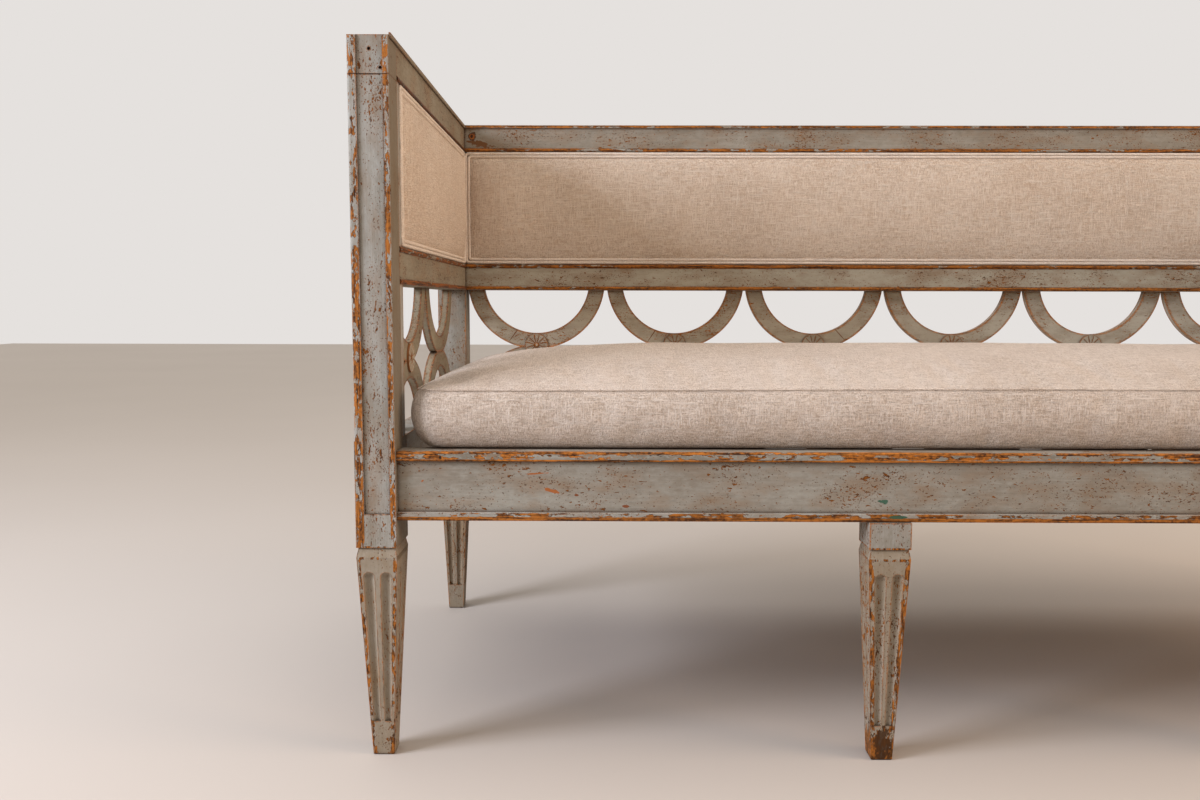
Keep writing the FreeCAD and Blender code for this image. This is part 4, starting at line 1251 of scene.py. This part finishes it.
@dataclass
class Webbing:
    """Jute webbing behind the back's padding: strips woven over and under each other."""

    front: float = 315.4 * MM
    bottom: float = 667.4 * MM
    top: float = 872.6 * MM
    half_length: float = 923.5 * MM
    width: float = 50 * MM
    spacing: float = 66 * MM
    thickness: float = 0.8 * MM
    weave: float = 0.5 * MM
    steps: int = 8

    def ribbon(self, run: tuple[float, float], points: int, crossings: np.ndarray,
               turn: float) -> tuple[np.ndarray, np.ndarray, np.ndarray]:
        """One strip, whose depth follows a cosine of the distance along it, a half wave to each crossing.

        Args:
            run: where the strip starts and ends.
            points: how many points stand along it.
            crossings: the places of the strips that it crosses.
            turn: half waves that its own cosine is ahead by.

        Returns:
            For each point, its place along the strip, its place across it, and its depth.
        """
        along, side = np.meshgrid(np.linspace(*run, points), [-0.5, 0.5], indexing="ij")
        wave = np.cos((along - crossings[0]) / (crossings[1] - crossings[0]) * np.pi + turn * np.pi)
        return along, side * self.width, self.front + 1.3 * MM + wave * self.weave

    def build(self) -> bpy.types.Object:
        """Make the strips as thin ribbons, and dress them.

        Returns:
            The webbing.
        """
        count = int(2 * self.half_length / self.spacing)
        margin = self.width / 2
        centres = np.linspace(-self.half_length + margin, self.half_length - margin, count)
        levels = np.linspace(self.bottom + margin, self.top - margin, 3)
        grids = []
        for number, x in enumerate(centres):
            height, side, depth = self.ribbon((self.bottom, self.top), 25, levels, number)
            grids.append(np.stack([x + side, depth, height], -1))
        for number, z in enumerate(levels):
            along, side, depth = self.ribbon((-self.half_length, self.half_length), self.steps * count, centres,
                                             number + 1)
            grids.append(np.stack([along, depth, z + side], -1))
        starts = np.cumsum([0] + [grid.size // 3 for grid in grids])
        strips = mesh_object("back_webbing_strips", np.concatenate([grid.reshape(-1, 3) for grid in grids]),
                             np.concatenate([grid_faces(*grid.shape[:2], start) for grid, start in zip(grids, starts)]))
        solid = strips.modifiers.new("thickness", "SOLIDIFY")
        solid.thickness = self.thickness
        solid.offset = 0
        strips.data.materials.append(SlubLinen("jute_webbing", cloth="#a98d63", cloth_dark="#86683f",
                                               thread=2.2 * MM).build())
        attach(strips, FRAME_BODY)
        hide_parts("back_panel_webbing")
        return strips


# ---------------------------------------------------------------- studio
@dataclass(frozen=True)
class Studio:
    """The camera at the photograph's viewpoint, a pale floor and plain soft light."""

    photo_px: tuple[int, int] = (1200, 800)
    focal_px: float = 968.18
    centre_px: tuple[float, float] = (600.27, 390.06)
    pitch: float = math.radians(-5.19)
    yaw: float = math.radians(0.39)
    roll: float = math.radians(0.13)
    place: tuple[float, float, float] = (-0.65735, -1.54508, 0.59584)
    sensor_mm: float = 36.0

    def camera(self) -> None:
        """Place the camera: turned left by the yaw, tilted by the pitch, then rolled about its view."""
        width, height = self.photo_px
        data = bpy.data.cameras.new("viewpoint")
        data.sensor_fit = "HORIZONTAL"
        data.sensor_width = self.sensor_mm
        data.lens = self.focal_px * self.sensor_mm / width
        data.shift_x = (width / 2 - self.centre_px[0]) / width
        data.shift_y = (self.centre_px[1] - height / 2) / width
        data.clip_start = 0.05
        into_camera = (Matrix.Rotation(self.roll, 3, "Y") @ Matrix.Rotation(-self.pitch, 3, "X")
                       @ Matrix.Rotation(-self.yaw, 3, "Z"))
        right, forward, up = (Vector(into_camera[row]) for row in range(3))
        eye = bpy.data.objects.new("viewpoint", data)
        eye.matrix_world = Matrix.Translation(self.place) @ Matrix((right, up, -forward)).transposed().to_4x4()
        bpy.context.scene.collection.objects.link(eye)
        bpy.context.scene.camera = eye

    @staticmethod
    def lamp(name: str, kind: str, place: tuple[float, float, float], aim: tuple[float, float, float],
             power: float, colour: str, **shape: float) -> None:
        """Add one lamp.

        Args:
            name: the lamp's name.
            kind: AREA for a soft panel, or SUN for a far, wide and even source such as a bright ceiling.
            place: where it hangs.
            aim: the point that it faces.
            power: watts, or for a SUN watts on each square metre that faces it.
            colour: sRGB hex colour.
            shape: the side of a panel's square as size, or how wide a SUN looks as angle.
        """
        data = bpy.data.lights.new(name, kind)
        data.energy = power
        data.color = linear(colour)[:3]
        for setting, value in shape.items():
            setattr(data, setting, value)
        thing = bpy.data.objects.new(name, data)
        thing.location = place
        thing.rotation_euler = (Vector(aim) - Vector(place)).to_track_quat("-Z", "Y").to_euler()
        bpy.context.scene.collection.objects.link(thing)

    @staticmethod
    def world() -> None:
        """Surround the scene with a weak warm light that the camera sees as a pale backdrop."""
        world = bpy.data.worlds.new("studio")
        world.use_nodes = True
        tree = world.node_tree
        tree.nodes.clear()
        path = add(tree, "LightPath")
        seen: Any = path.outputs["Is Camera Ray"]
        for ray in ("Is Glossy Ray", "Is Transmission Ray"):
            seen = add(tree, "Math", {0: seen, 1: path.outputs[ray]}, operation="MAXIMUM")
        ambient = add(tree, "Background", {"Color": linear("#f6e7d8"), "Strength": 0.22})
        backdrop = add(tree, "Background", {"Color": linear("#e5e1de"), "Strength": 1.0})
        both = add(tree, "MixShader", {0: seen, 1: ambient, 2: backdrop})
        add(tree, "OutputWorld", {"Surface": both})
        bpy.context.scene.world = world

    def build(self) -> None:
        """Set up camera, lamps, world and floor."""
        self.camera()
        self.lamp("window_left", "AREA", (-3.4, -1.5, 1.7), (-0.3, 0, 0.45), 108, "#edf2ff", size=1.2)
        self.lamp("room_right", "AREA", (3.4, -1.0, 1.8), (-0.9, 0.0, 0.7), 98, "#ffdbb8", size=2.2)
        self.lamp("ceiling", "SUN", (0.0, -0.14, 1.0), (0, 0, 0), 1.72, "#fffaf3", angle=math.radians(80))
        self.world()
        floor = mesh_object("floor", np.array([[-9, -6, 0], [9, -6, 0], [9, 12, 0], [-9, 12, 0]], float),
                            np.array([[0, 1, 2, 3]]), smooth=False)
        floor.data.materials.append(StudioFloor().build())
        bpy.context.scene.view_settings.view_transform = "Standard"


def main() -> None:
    """Build the settee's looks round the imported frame, piece by piece."""
    logging.basicConfig(level=logging.INFO, format="%(name)s: %(message)s")
    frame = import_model()
    Studio().build()
    PaintedFrame().dress(frame["nodes"])
    linen = SlubLinen("panel_linen", cloth="#eddece", cloth_dark="#c4ac96").build()
    # The welt's linen is a paler copy of the panel's, a painted highlight on the round cords.
    piping = SlubLinen("piping_linen_lit", cloth="#faeee2", cloth_dark="#e4d2c1").build()
    for wall in Wall:
        for piece in UpholsteredPanel(wall).build(linen, piping):
            log.info("piece %s", piece.name)
    log.info("piece %s", Webbing().build().name)
    log.info("piece %s", SeatCushion().build().name)


if __name__ == "__main__":
    main()
